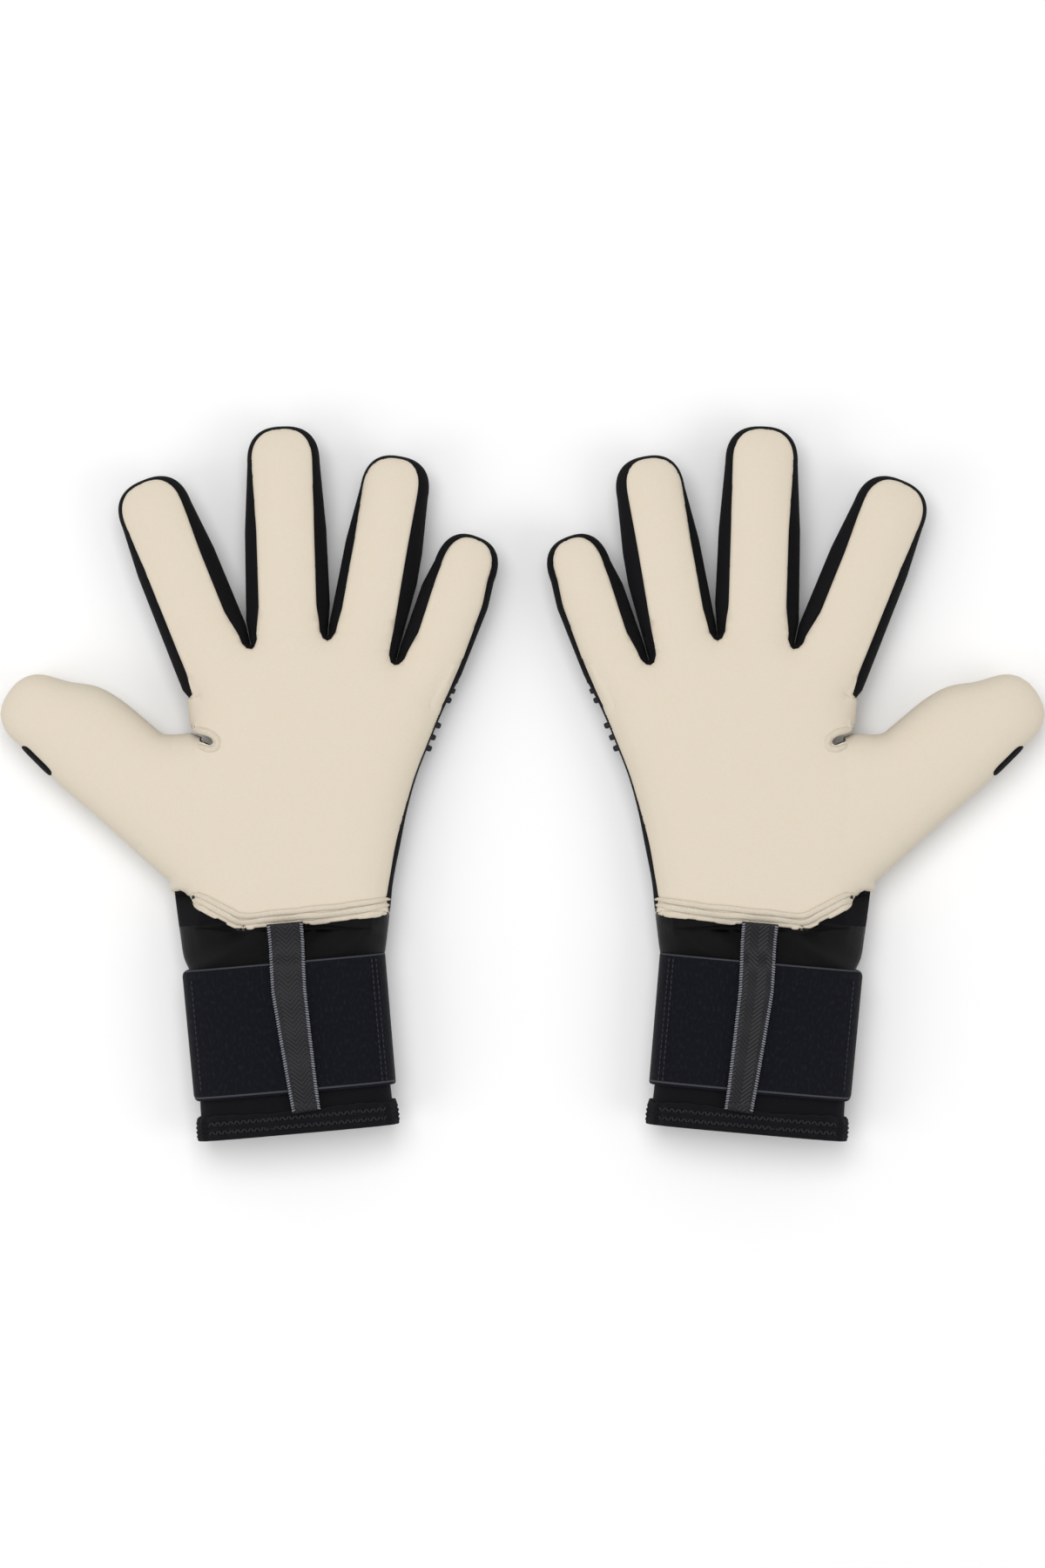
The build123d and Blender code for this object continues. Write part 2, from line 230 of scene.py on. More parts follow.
def finger_side(digit, sign, neighbour, low_y, step, gap=SLOT, inset=0.0, trim=None):
    """One side of a finger, from its root at height low_y to the middle of its tip."""
    root = (low_y - digit.knuckle[1]) / digit.along[1] - sign * HALF_WIDTH[digit.name][0] * digit.across[1]
    tip = digit.length - inset
    s = np.concatenate([np.arange(root, tip - CAP, step), tip - CAP + CAP * np.sin(np.linspace(0, math.pi / 2, 22))])
    points = []
    for station in s:
        half = finger_half(digit, station, inset, trim)
        if neighbour is not None:
            half = min(half, middle_line_half(digit, neighbour, station, sign) - gap)
        points.append(digit.at(station, sign * half))
    points = np.array(points)
    return points[points[:, 1] >= low_y - 0.2] if neighbour is not None else points


@functools.cache
def silhouette(step=1.1):
    """The hand's outline seen from above, anticlockwise from the wrist's little-finger side."""
    d = digits()
    loop = []
    first = finger_side(d["little"], -1, None, 40.0, step)
    loop.append(spline(LITTLE_EDGE + [tuple(first[first[:, 1] > 43.0][0])], step)[:-1])
    loop.append(first[first[:, 1] > 43.0])
    for name, following in zip(FINGERS, FINGERS[1:]):
        down = finger_side(d[name], 1, d[following], WEB[following], step)[::-1]
        up = finger_side(d[following], -1, d[name], WEB[following], step)
        middle = (down[-1] + up[0]) / 2 - np.array([0.0, SLOT])
        loop += [down[1:], middle[None], up]
    last = finger_side(d["index"], 1, None, 30.0, step)[::-1]
    last = last[last[:, 1] > 37.0]
    loop.append(last[1:])
    loop.append(spline([tuple(last[-1])] + SLIT_EDGE, step * 0.7)[1:-1])
    loop.append(spline([SLIT_EDGE[-1]] + THUMB_EDGE, step)[:-1])
    loop.append(spline([THUMB_EDGE[-1]] + WRIST_EDGE, step))
    return np.vstack(loop)


def latex_web(digit, following, step):
    """The narrow U of the latex's outline between two fingers."""
    d = digits()
    bisector = d[digit].along + d[following].along
    bisector /= np.hypot(*bisector)
    across = np.array([bisector[1], -bisector[0]])
    low = finger_side(d[digit], 1, d[following], WEB[following], step)[0] + across * SLOT
    bottom = low - bisector * WEB_LATEX_DROP
    return [tuple(bottom + bisector * (WEB_LATEX_HALF * up) + across * (WEB_LATEX_HALF * side))
            for side, up in ((-1.1, 1.9), (-0.95, 0.95), (-0.5, 0.2), (0.0, 0.0), (0.5, 0.2), (0.95, 0.95), (1.1, 1.9))]


@functools.cache
def latex_outline(step=1.1):
    """The latex's outline on the palm side. Where it wraps round the hand it runs outside the silhouette."""
    d = digits()
    keep = 15.0
    loop = [(52.0, -60.0), (55.0, -45.8), (51.4, -24.8), (47.8, -10.8), (43.8, 3.0), (38.4, 17.0), (32.6, 31.0)]
    curve = list(map(tuple, loop[:1])) + [tuple(p) for p in spline(loop[1:], step)]
    for index, name in enumerate(FINGERS):
        digit = d[name]
        for sign, trim in ((-1, GUSSET_LITTLE_SIDE), (1, GUSSET_THUMB_SIDE)):
            side = finger_side(digit, sign, None, -100.0, step, inset=TIP_RIM, trim=trim)
            s = (side - digit.knuckle) @ digit.along
            side = side[(s > (-2.0 if sign == -1 and name == "little" else 2.0 if name != "index" or sign < 0 else -keep))]
            curve += [tuple(p) for p in (side if sign < 0 else side[::-1][1:])]
        if name != "index":
            curve += latex_web(name, FINGERS[index + 1], step)
    curve += [(132.6, 36.0), (135.8, 32.5), (140.0, 31.5), (140.0, 24.0), (136.0, 21.0), (145.0, 24.0), (160.0, 45.0), (215.0, 55.0), (220.0, 0.0),
              (150.0, -45.0), (137.0, -42.5)]
    curve += [tuple(p) for p in HEM_LINE]
    return np.array(curve)


@functools.cache
def latex_back_outline():
    """Where the latex wraps round to the back: all of the thumb and a strip along the thumb side."""
    strip = spline([(128.6, 36.0), (127.0, 26.0), (122.0, 14.0), (130.0, -4.0), (131.5, -22.0), (131.0, -45.0)], 1.1)
    around = [(150.0, -45.0), (220.0, 0.0), (215.0, 55.0), (160.0, 45.0), (145.0, 24.0), (136.0, 21.0), (140.0, 24.0), (140.0, 33.0)]
    return np.vstack([strip, around])


@functools.cache
def back_panel_outline(step=1.1):
    """The raised panel on the backs of the fingers and hand, inside the gussets."""
    d = digits()
    wide = {name: (4.6, 4.6, 4.0) for name in FINGERS}
    curve = [tuple(p) for p in spline([(60.5, -58.0), (57.5, -40.0), (53.0, -18.0), (46.0, 8.0), (37.6, 31.0)], step)]
    for index, name in enumerate(FINGERS):
        for sign in (-1, 1):
            side = finger_side(d[name], sign, None, -100.0, step, inset=3.4, trim=wide)
            s = (side - d[name].knuckle) @ d[name].along
            side = side[s > (2.0 if 0 < index < 3 or sign * (index - 1.5) < 0 else -6.0)]
            curve += [tuple(p) for p in (side if sign < 0 else side[::-1][1:])]
        if name != "index":
            curve += latex_web(name, FINGERS[index + 1], step)
    curve += [tuple(p) for p in spline([(129.5, 38.0), (126.0, 27.0), (118.5, 14.0), (126.5, -5.0), (127.5, -22.0), (128.0, -40.0), (131.0, -58.0)], step)]
    return np.array(curve)


# ------------------------------------------------------------------ the filled surface
def inside(polygon, points):
    """Which points lie inside a closed polygon."""
    x, y = points[:, 0][:, None], points[:, 1][:, None]
    a, b = polygon, np.roll(polygon, -1, axis=0)
    crosses = (a[:, 1] > y) != (b[:, 1] > y)
    with np.errstate(divide="ignore", invalid="ignore"):
        at = a[:, 0] + (y - a[:, 1]) * (b[:, 0] - a[:, 0]) / (b[:, 1] - a[:, 1])
    return ((crosses & (x < at)).sum(axis=1) % 2) == 1


def distance(polygon, points, closed=True):
    """Each point's distance to a polyline."""
    a = polygon if closed else polygon[:-1]
    b = np.roll(polygon, -1, axis=0) if closed else polygon[1:]
    out = np.empty(len(points))
    ab = b - a
    length = np.maximum((ab**2).sum(axis=1), 1e-12)
    for start in range(0, len(points), 2000):
        p = points[start:start + 2000][:, None]
        t = np.clip(((p - a) * ab).sum(axis=2) / length, 0.0, 1.0)
        out[start:start + 2000] = np.sqrt((((p - a) - ab * t[..., None]) ** 2).sum(axis=2).min(axis=1))
    return out


def inward_rings(polygon, offsets):
    """Points on copies of a closed anticlockwise or clockwise outline, moved inwards by each offset."""
    tangent = np.roll(polygon, -1, axis=0) - np.roll(polygon, 1, axis=0)
    normal = np.stack([-tangent[:, 1], tangent[:, 0]], axis=1)
    normal /= np.maximum(np.hypot(*normal.T), 1e-9)[:, None]
    area = float((polygon[:, 0] * np.roll(polygon[:, 1], -1) - np.roll(polygon[:, 0], -1) * polygon[:, 1]).sum())
    normal *= math.copysign(1.0, area)
    out = []
    for offset in offsets:
        ring = polygon + normal * offset
        out.append(ring[distance(polygon, ring) > 0.9 * offset])
    return np.vstack(out)


def thin_out(fixed, candidates, spacing):
    """The candidates that keep their distance from the fixed points and from each other."""
    cell = max(spacing)
    taken = {}

    def near(p, limit):
        i, j = int(p[0] // cell), int(p[1] // cell)
        for x in (i - 1, i, i + 1):
            for y in (j - 1, j, j + 1):
                for q in taken.get((x, y), ()):
                    if (p[0] - q[0]) ** 2 + (p[1] - q[1]) ** 2 < limit * limit:
                        return True
        return False

    def put(p):
        taken.setdefault((int(p[0] // cell), int(p[1] // cell)), []).append(p)

    for p in fixed:
        put(p)
    kept = []
    for group, limit in zip(candidates, spacing):
        for p in group:
            if not near(p, limit):
                put(p)
                kept.append(p)
    return np.array(kept)


def solve_fill(points, triangles, fixed, values, reach):
    """A pressed-up membrane over the outline: near 1 far from the edges, and the given values at them."""
    corner = points[triangles]
    edges, weights = [], []
    for i in range(3):
        a, b, c = corner[:, i], corner[:, (i + 1) % 3], corner[:, (i + 2) % 3]
        u, v = b - a, c - a
        cross = np.abs(u[:, 0] * v[:, 1] - u[:, 1] * v[:, 0])
        weights.append(0.5 * (u * v).sum(axis=1) / np.maximum(cross, 1e-9))
        edges.append(np.stack([triangles[:, (i + 1) % 3], triangles[:, (i + 2) % 3]], axis=1))
    edges, weights = np.vstack(edges), np.maximum(np.concatenate(weights), 1e-4)
    u, v = corner[:, 1] - corner[:, 0], corner[:, 2] - corner[:, 0]
    area = np.abs(u[:, 0] * v[:, 1] - u[:, 1] * v[:, 0]) / 6.0
    mass = np.bincount(triangles.ravel(), np.repeat(area, 3), len(points))
    free = ~fixed

    def apply(x):
        flow = weights * (x[edges[:, 0]] - x[edges[:, 1]])
        y = np.bincount(edges[:, 0], flow, len(x)) - np.bincount(edges[:, 1], flow, len(x))
        return (y + mass * x / reach**2) * free

    diagonal = np.bincount(edges.ravel(), np.repeat(weights, 2), len(points)) + mass / reach**2
    x = np.where(fixed, values, 0.0)
    r = (mass / reach**2 * free) - apply(x)
    z = r / diagonal
    p = z.copy()
    rz = float(r @ z)
    for _ in range(900):
        ap = apply(p)
        step = rz / float(p @ ap)
        x += step * p
        r -= step * ap
        if float(np.abs(r).max()) < 1e-9:
            break
        z = r / diagonal
        following = float(r @ z)
        p = z + p * (following / rz)
        rz = following
    return np.clip(x, 0.0, None)


def cuff_frame():
    """The cuff's origin on the wrist hinge, its direction across the wrist and its direction to the hand."""
    hinge = joint("right_wrist_bend")
    across = -np.array(hinge["axis"][:2])
    return flat(hinge["pos_m"]), across, np.array([-across[1], across[0]])


def in_cuff(points):
    """Points seen from above, as distances across the cuff and towards the hand."""
    origin, across, along = cuff_frame()
    return (points - origin) @ across, (points - origin) @ along


MID_HEIGHT = 15.6           # the height that the hand's two faces meet at
WRIST_MID_HEIGHT = 17.0     # the same at the wrist
WRIST_HALF = 10.9           # half the wrist's thickness under the strap
BACK_SHARE = 0.93           # the back's bulge as a share of the palm's


def smoothstep(t):
    t = np.clip(t, 0.0, 1.0)
    return t * t * (3.0 - 2.0 * t)


class Hand:
    """The filled hand: one flat triangulation, lifted to a palm face and a back face."""

    def __init__(self, sizes):
        coarse = 1.0
        step = 1.1 * coarse
        edge = silhouette(step)
        outlines = [latex_outline(step), back_panel_outline(step), latex_back_outline(), thumb_panel()]
        lines = [straight(line, step) for line in cut_lines()]
        constraint_points, constraint_edges = self.constraints(edge, outlines, lines)
        rings = inward_rings(edge, (0.12, 0.45, 1.0, 1.8, 2.9, 4.2))
        seams = np.vstack([inward_rings(outline, (0.3, 0.75, 1.3, 2.0)) for outline in outlines[:2] + outlines[3:]])
        seams = seams[inside(edge, seams)]
        seams = seams[distance(edge, seams) > 0.5]
        low, high = edge.min(axis=0), edge.max(axis=0)
        size = sizes.grid * coarse
        xs, ys = np.arange(low[0], high[0], size), np.arange(low[1], high[1], size * 0.866)
        grid = np.array([(x + (row % 2) * size / 2, y) for row, y in enumerate(ys) for x in xs])
        grid = grid[inside(edge, grid)]
        grid = grid[distance(edge, grid) > 4.6]
        extra = thin_out(constraint_points, (rings, seams, grid), (0.11, 0.28, 1.05 * coarse))
        points = np.vstack([constraint_points, extra])
        result = geometry.delaunay_2d_cdt([Vector(p) for p in points.tolist()], constraint_edges,
                                          [list(range(len(edge)))], 1, 1e-4)
        self.flat = np.array([tuple(v) for v in result[0]])
        self.triangles = np.array([f[::-1] if self.turned(result[0], f) else f for f in result[2]])
        self.centres = self.flat[self.triangles].mean(axis=1)
        keep = inside(edge, self.centres)
        self.triangles, self.centres = self.triangles[keep], self.centres[keep]
        self.use_only_needed()
        self.lift(edge, sizes)

    @staticmethod
    def turned(points, face):
        a, b, c = (points[i] for i in face)
        return (b[0] - a[0]) * (c[1] - a[1]) - (b[1] - a[1]) * (c[0] - a[0]) < 0

    @staticmethod
    def constraints(edge, outlines, lines):
        points, edges = [edge], [(i, (i + 1) % len(edge)) for i in range(len(edge))]
        count = len(edge)
        for curve in outlines + lines:
            closed = any(curve is outline for outline in outlines)
            points.append(curve)
            last = len(curve) if closed else len(curve) - 1
            edges += [(count + i, count + (i + 1) % len(curve)) for i in range(last)]
            count += len(curve)
        return np.vstack(points), edges

    def use_only_needed(self):
        used = np.unique(self.triangles)
        remap = np.full(len(self.flat), -1)
        remap[used] = np.arange(len(used))
        self.flat, self.triangles = self.flat[used], remap[self.triangles]

    def lift(self, edge, sizes):
        """Solves the filled shape and gives every point its height on the palm and on the back."""
        sides = np.sort(self.triangles[:, [0, 1, 1, 2, 2, 0]].reshape(-1, 2), axis=1)
        unique, counts = np.unique(sides, axis=0, return_counts=True)
        rim = np.zeros(len(self.flat), bool)
        self.rim_edges = unique[counts == 1]
        rim[self.rim_edges.ravel()] = True
        across, along = in_cuff(self.flat)
        bottom = rim & (self.flat[:, 1] < -70.0) & (distance(np.array([LITTLE_EDGE[0], WRIST_EDGE[-1]]), self.flat, False) < 0.3)
        values = np.zeros(len(self.flat))
        slit = np.array(SLIT_EDGE[2:8])
        at_slit = rim & (distance(slit, self.flat, False) < 0.8) & (self.flat[:, 0] < 134.0)
        values[at_slit] = SLIT_SHARE * smoothstep((133.5 - self.flat[at_slit, 0]) / 8.0)
        fill = solve_fill(self.flat, self.triangles, rim & ~bottom, values, sizes.reach)
        near_wrist = smoothstep((8.0 - along) / 20.0)
        half = sizes.palm_half * (1 - near_wrist) + WRIST_HALF * near_wrist
        middle = MID_HEIGHT * (1 - near_wrist) + WRIST_MID_HEIGHT * near_wrist
        rise = half * np.sqrt(fill)
        self.palm = np.column_stack([self.flat, middle + rise + self.creases(across, along, 1)])
        self.back = np.column_stack([self.flat, middle - rise * BACK_SHARE - self.creases(across, along, -1)])
        self.shared = rim & (fill < 1e-6)
        self.fill = fill
        self.edge = edge
        self.count = len(self.flat)
        self.solid_triangles = np.vstack([self.triangles, self.back_faces(self.triangles)])
        self.points = np.vstack([self.palm, self.back])
        self.normals = vertex_normals(self.points, self.solid_triangles)

    def creases(self, across, along, face):
        """Soft folds of the wrist fabric beside the strap, in millimetres."""
        fade = smoothstep((13.0 - along) / 6.0) * smoothstep((along + 9.5) / 6.0)
        slant = across * 0.75 + face * 1.5 * along
        folds = 1.0 * np.sin(slant / 5.5) + 0.55 * np.sin(slant / 2.9 + 1.3 + across / 11.0)
        return (1.35 * folds - 1.6) * fade * np.clip(1.0 - np.abs(across) / 42.0, 0.0, 1.0)

    def back_faces(self, triangles):
        """The same triangles on the back face, turned over, sharing the rim with the palm face."""
        index = np.where(self.shared, np.arange(self.count), np.arange(self.count) + self.count)
        return index[triangles][:, ::-1]

    def regions(self):
        """The body that each triangle belongs to: hand, or a digit's base or tip."""
        names = np.array(["hand"] * len(self.triangles), dtype=object)
        nearest = np.full(len(self.triangles), 1e9)
        for digit in digits().values():
            offset = self.centres - digit.knuckle
            s = offset @ digit.along
            lateral = np.abs(offset @ digit.across)
            mine = (lateral < nearest) & (offset @ digit.square > digit.bend_from) & (lateral < 26.0)
            if digit.name == "thumb":
                mine &= self.centres[:, 1] < 44.0
                mine &= ~((self.centres[:, 0] < 134.5) & (self.centres[:, 1] > 18.2))
            else:
                mine &= self.centres[:, 1] > 40.0
            nearest = np.where(mine, lateral, nearest)
            names[mine & (s <= digit.split)] = f"{digit.name}_base"
            names[mine & (s > digit.split)] = f"{digit.name}_tip"
        along = in_cuff(self.centres)[1]
        names[(names == "hand") & (along < WRIST_CUT)] = "wrist"
        return names


WRIST_CUT = 9.0             # from the wrist hinge to where the wrist fabric starts to bend


def cut_lines():
    """Lines across the hand where its pieces meet."""
    lines = []
    for digit in digits().values():
        right = np.array([digit.square[1], -digit.square[0]])
        start = digit.knuckle + digit.square * digit.bend_from
        reach = 24.0 if digit.name == "thumb" else 17.4
        lines.append([tuple(start - right * reach), tuple(start + right * (34.0 if digit.name == "thumb" else reach))])
        lines.append([tuple(digit.at(digit.split, -24.0)), tuple(digit.at(digit.split, 24.0))])
    origin, across, along = cuff_frame()
    lines.append([tuple(origin + along * WRIST_CUT - across * 50), tuple(origin + along * WRIST_CUT + across * 50)])
    return lines


def vertex_normals(points, triangles):
    a, b, c = (points[triangles[:, i]] for i in range(3))
    face = np.cross(b - a, c - a)
    normals = np.zeros_like(points)
    for i in range(3):
        np.add.at(normals, triangles[:, i], face)
    return normals / np.maximum(np.linalg.norm(normals, axis=1), 1e-12)[:, None]


@functools.cache
def hand():
    return Hand(bpy.context.scene.glove_sizes)


@functools.cache
def hand_tree():
    """The hand's surface, for finding the point above or below a place."""
    shape = hand()
    return BVHTree.FromPolygons([tuple(p) for p in shape.points], [tuple(int(i) for i in t) for t in shape.solid_triangles])


def on_palm(x, y):
    """The point and normal on the palm at a place seen from above."""
    where, normal, *_ = hand_tree().ray_cast(Vector((x, y, 90.0)), Vector((0, 0, -1)))
    if where is None:
        where, normal, *_ = hand_tree().find_nearest(Vector((x, y, MID_HEIGHT + 8.0)))
    return np.array(where), np.array(normal)


def on_back(x, y):
    """The point and normal on the back at a place seen from above."""
    where, normal, *_ = hand_tree().ray_cast(Vector((x, y, -90.0)), Vector((0, 0, 1)))
    if where is None:
        where, normal, *_ = hand_tree().find_nearest(Vector((x, y, MID_HEIGHT - 8.0)))
    return np.array(where), np.array(normal)


# ------------------------------------------------------------------ materials
def rgb(text):
    """An sRGB hex colour as linear values."""
    parts = [int(text[i:i + 2], 16) / 255 for i in (0, 2, 4)]
    return tuple(c / 12.92 if c <= 0.04045 else ((c + 0.055) / 1.055) ** 2.4 for c in parts) + (1.0,)


def node(tree, kind, inputs=(), **settings):
    """Adds a node, sets its properties, and sets or links its inputs."""
    made = tree.nodes.new(kind)
    for key, value in settings.items():
        setattr(made, key, value)
    for key, value in dict(inputs).items():
        if isinstance(value, bpy.types.NodeSocket):
            tree.links.new(value, made.inputs[key])
        else:
            made.inputs[key].default_value = value
    return made


def new_material(name, roughness, specular=0.5):
    """A named material with a Principled shader, and its tree and shader."""
    material = bpy.data.materials.new(name)
    material.use_nodes = True
    tree = material.node_tree
    shader = tree.nodes["Principled BSDF"]
    shader.inputs["Roughness"].default_value = roughness
    shader.inputs["Specular IOR Level"].default_value = specular
    return material, tree, shader


def bump(tree, shader, height, strength, depth):
    made = node(tree, "ShaderNodeBump", {"Height": height, "Strength": strength, "Distance": depth})
    tree.links.new(made.outputs[0], shader.inputs["Normal"])


def cloth_uv(tree, scale):
    """The cloth's own coordinates in metres, scaled."""
    uv = node(tree, "ShaderNodeUVMap", uv_map="cloth")
    return node(tree, "ShaderNodeMapping", {"Vector": uv.outputs[0], "Scale": scale}).outputs[0]


def wave(tree, vector, direction, distortion=0.0):
    return node(tree, "ShaderNodeTexWave", {"Vector": vector, "Scale": 0.31831, "Distortion": distortion,
                                            "Detail": 1.0}, bands_direction=direction).outputs["Fac"]


def noise(tree, vector, scale, detail=2.0):
    return node(tree, "ShaderNodeTexNoise", {"Vector": vector, "Scale": scale, "Detail": detail}).outputs["Fac"]


def mix(tree, factor, first, second):
    made = node(tree, "ShaderNodeMix", {"Factor": factor}, data_type="RGBA")
    for socket, value in ((6, first), (7, second)):
        if isinstance(value, bpy.types.NodeSocket):
            tree.links.new(value, made.inputs[socket])
        else:
            made.inputs[socket].default_value = value
    return made.outputs[2]


def math_node(tree, operation, *values):
    return node(tree, "ShaderNodeMath", dict(enumerate(values)), operation=operation).outputs[0]


@functools.cache
def latex_material():
    """Foam latex: matte, evenly lit, with a faint speckle of pores about 0.8 mm across."""
    material, tree, shader = new_material("Foam latex", 0.8, 0.15)
    tint = rgb(bpy.context.scene.glove_colours.latex)
    where = node(tree, "ShaderNodeTexCoord").outputs["Object"]
    pores = noise(tree, where, 1200.0)
    cloudy = noise(tree, where, 45.0)
    darker = tuple(c * 0.97 for c in tint[:3]) + (1.0,)
    speckled = mix(tree, node(tree, "ShaderNodeMapRange", {0: pores, 1: 0.3, 2: 0.7}).outputs[0], darker, tint)
    worn = mix(tree, math_node(tree, "MULTIPLY", cloudy, 0.04), speckled, tuple(c * 0.9 for c in tint[:3]) + (1.0,))
    tree.links.new(worn, shader.inputs["Base Color"])
    shader.inputs["Subsurface Weight"].default_value = 0.08
    shader.inputs["Subsurface Radius"].default_value = (0.004, 0.003, 0.002)
    shader.inputs["Subsurface Scale"].default_value = 0.5
    bump(tree, shader, pores, 0.12, 0.00025)
    return material


@functools.cache
def raw_foam_material():
    """The cut edge of the backing foam: a touch darker than the latex face, and more open."""
    material, tree, shader = new_material("Cut foam edge", 0.85, 0.2)
    tint = rgb(bpy.context.scene.glove_colours.latex)
    where = node(tree, "ShaderNodeTexCoord").outputs["Object"]
    pores = noise(tree, where, 900.0)
    tree.links.new(mix(tree, pores, tuple(c * 0.8 for c in tint[:3]) + (1.0,), tint), shader.inputs["Base Color"])
    bump(tree, shader, pores, 0.3, 0.0003)
    return material


def ribbed(name, tint, pitch, roughness, depth, crown_highlight=5.0, sheen=0.02, specular=0.07):
    """A knit whose ribs run along the cloth, one for each pitch in metres across it."""
    material, tree, shader = new_material(name, roughness, specular)
    vector = cloth_uv(tree, (math.tau / pitch, math.tau / (pitch * 1.6), 1.0))
    ribs = wave(tree, vector, "X", 0.4)
    stitches = wave(tree, vector, "Y", 0.4)
    height = math_node(tree, "MULTIPLY_ADD", stitches, 0.35, ribs)
    # Painted highlight: the rib tops are painted brighter than the knit's own colour, by the given factor, and the
    # valleys between them keep the knit's tint.
    highlit_crown = tuple(c * crown_highlight for c in tint[:3]) + (1.0,)
    tree.links.new(mix(tree, ribs, tint, highlit_crown), shader.inputs["Base Color"])
    shader.inputs["Sheen Weight"].default_value = sheen
    shader.inputs["Sheen Roughness"].default_value = 0.4
    bump(tree, shader, height, 0.8, depth)
    return material


@functools.cache
def knit_material():
    """Rib knit: 1.1 mm ribs along each finger's gusset."""
    # The rib tops are painted 5 times brighter than the black knit: a painted highlight.
    return ribbed("Rib knit", rgb(bpy.context.scene.glove_colours.knit), 0.0011, 0.8, 0.0004)


@functools.cache
def jersey_material():
    """Brushed jersey over foam: a soft sheen and a 0.9 mm knit."""
    # The rib tops are painted 1.4 times brighter than the black jersey: a painted highlight.
    return ribbed("Brushed jersey", rgb(bpy.context.scene.glove_colours.jersey), 0.0009, 0.36, 0.0001, 1.4, 0.0, 0.14)


@functools.cache
def cuff_material():
    """Elastic bandage: 1.8 mm ribs round the cuff."""
    # The rib tops are painted 8 times brighter than the black bandage: a painted highlight.
    return ribbed("Bandage elastic", rgb(bpy.context.scene.glove_colours.knit), 0.0018, 0.7, 0.0004, 8.0)


@functools.cache
def rubber_material():
    """Moulded rubber: smooth with a low sheen."""
    material, tree, shader = new_material("Moulded rubber", 0.42, 0.2)
    shader.inputs["Base Color"].default_value = rgb(bpy.context.scene.glove_colours.rubber)
    return material


@functools.cache
def thread_material():
    """Bonded nylon thread."""
    material, tree, shader = new_material("Nylon thread", 0.5, 0.15)
    shader.inputs["Base Color"].default_value = rgb(bpy.context.scene.glove_colours.selvedge)
    return material


@functools.cache
def dark_thread_material():
    """Black bonded nylon thread."""
    material, tree, shader = new_material("Black nylon thread", 0.5, 0.15)
    shader.inputs["Base Color"].default_value = rgb(bpy.context.scene.glove_colours.thread)
    return material


@functools.cache
def strap_material():
    """Woven elastic: fine weft lines and a grey yarn near each edge, 53 mm apart in the cloth's V."""
    colours = bpy.context.scene.glove_colours
    material, tree, shader = new_material("Woven elastic", 0.6, 0.1)
    base, edge = rgb(colours.elastic), rgb(colours.selvedge)
    vector = cloth_uv(tree, (math.tau / 0.0014, math.tau / 0.0011, 1.0))
    weft = wave(tree, vector, "Y")
    warp = wave(tree, vector, "X")
    across = node(tree, "ShaderNodeSeparateXYZ", {0: cloth_uv(tree, (1.0, 1.0, 1.0))}).outputs[1]
    from_middle = math_node(tree, "ABSOLUTE", math_node(tree, "SUBTRACT", across, 0.0265))
    line = math_node(tree, "COMPARE", from_middle, 0.0256, 0.00035)
    grain = noise(tree, cloth_uv(tree, (1.0, 0.5, 1.0)), 900.0)
    fleck = node(tree, "ShaderNodeMapRange", {0: grain, 1: 0.5, 2: 0.75}).outputs[0]
    # Painted highlight: the weft ribs' tops are painted 1.6 times brighter than the elastic, following the same wave as
    # the bump.
    highlit_weave = mix(tree, weft, base, tuple(c * 1.6 for c in base[:3]) + (1.0,))
    woven = mix(tree, fleck, highlit_weave, tuple(c * 4.0 for c in base[:3]) + (1.0,))
    dashed = math_node(tree, "MULTIPLY", line, math_node(tree, "MULTIPLY_ADD", warp, 0.3, 0.15))
    tree.links.new(mix(tree, dashed, woven, edge), shader.inputs["Base Color"])
    bump(tree, shader, math_node(tree, "MULTIPLY_ADD", warp, 0.4, weft), 0.6, 0.0002)
    return material


@functools.cache
def tape_material():
    """Herringbone twill tape: diagonal ribs that change direction every 3.6 mm across.

    The real ribs are about 1.1 mm apart; they are drawn 1.8 mm apart, so that they can be seen."""
    material, tree, shader = new_material("Herringbone tape", 0.36, 0.16)
    tint = rgb(bpy.context.scene.glove_colours.tape)
    parts = node(tree, "ShaderNodeSeparateXYZ", {0: cloth_uv(tree, (1.0, 1.0, 1.0))})
    zigzag = math_node(tree, "PINGPONG", parts.outputs[0], 0.0036)
    along = math_node(tree, "ADD", parts.outputs[1], zigzag)
    ribs = math_node(tree, "SINE", math_node(tree, "MULTIPLY", along, math.tau / 0.0018))
    level = math_node(tree, "MULTIPLY_ADD", ribs, 0.5, 0.5)
    # Painted highlight: the twill ribs' tops are painted 4.5 times brighter than the tape, following the same wave as
    # the bump.
    tree.links.new(mix(tree, level, tint, tuple(c * 4.5 for c in tint[:3]) + (1.0,)), shader.inputs["Base Color"])
    bump(tree, shader, level, 0.7, 0.0002)
    return material


# ------------------------------------------------------------------ meshes
def make_piece(name, points, faces, material, uv=None, normals=None, smooth=True):
    """A mesh object from points in millimetres. uv and normals have one row for each point."""
    mesh = bpy.data.meshes.new(name)
    mesh.from_pydata((np.asarray(points) * MM).tolist(), [], [tuple(int(i) for i in f) for f in faces])
    materials = material if isinstance(material, list) else [material]
    for each in materials:
        mesh.materials.append(each)
    if uv is not None:
        layer = mesh.uv_layers.new(name="cloth")
        corner = np.empty(len(mesh.loops), int)
        mesh.loops.foreach_get("vertex_index", corner)
        layer.data.foreach_set("uv", (np.asarray(uv)[corner] * MM).ravel())
    mesh.polygons.foreach_set("use_smooth", [smooth] * len(mesh.polygons))
    if normals is not None:
        mesh.normals_split_custom_set_from_vertices([tuple(n) for n in normals])
    made = bpy.data.objects.new(name, mesh)
    bpy.context.scene.collection.objects.link(made)
    return made


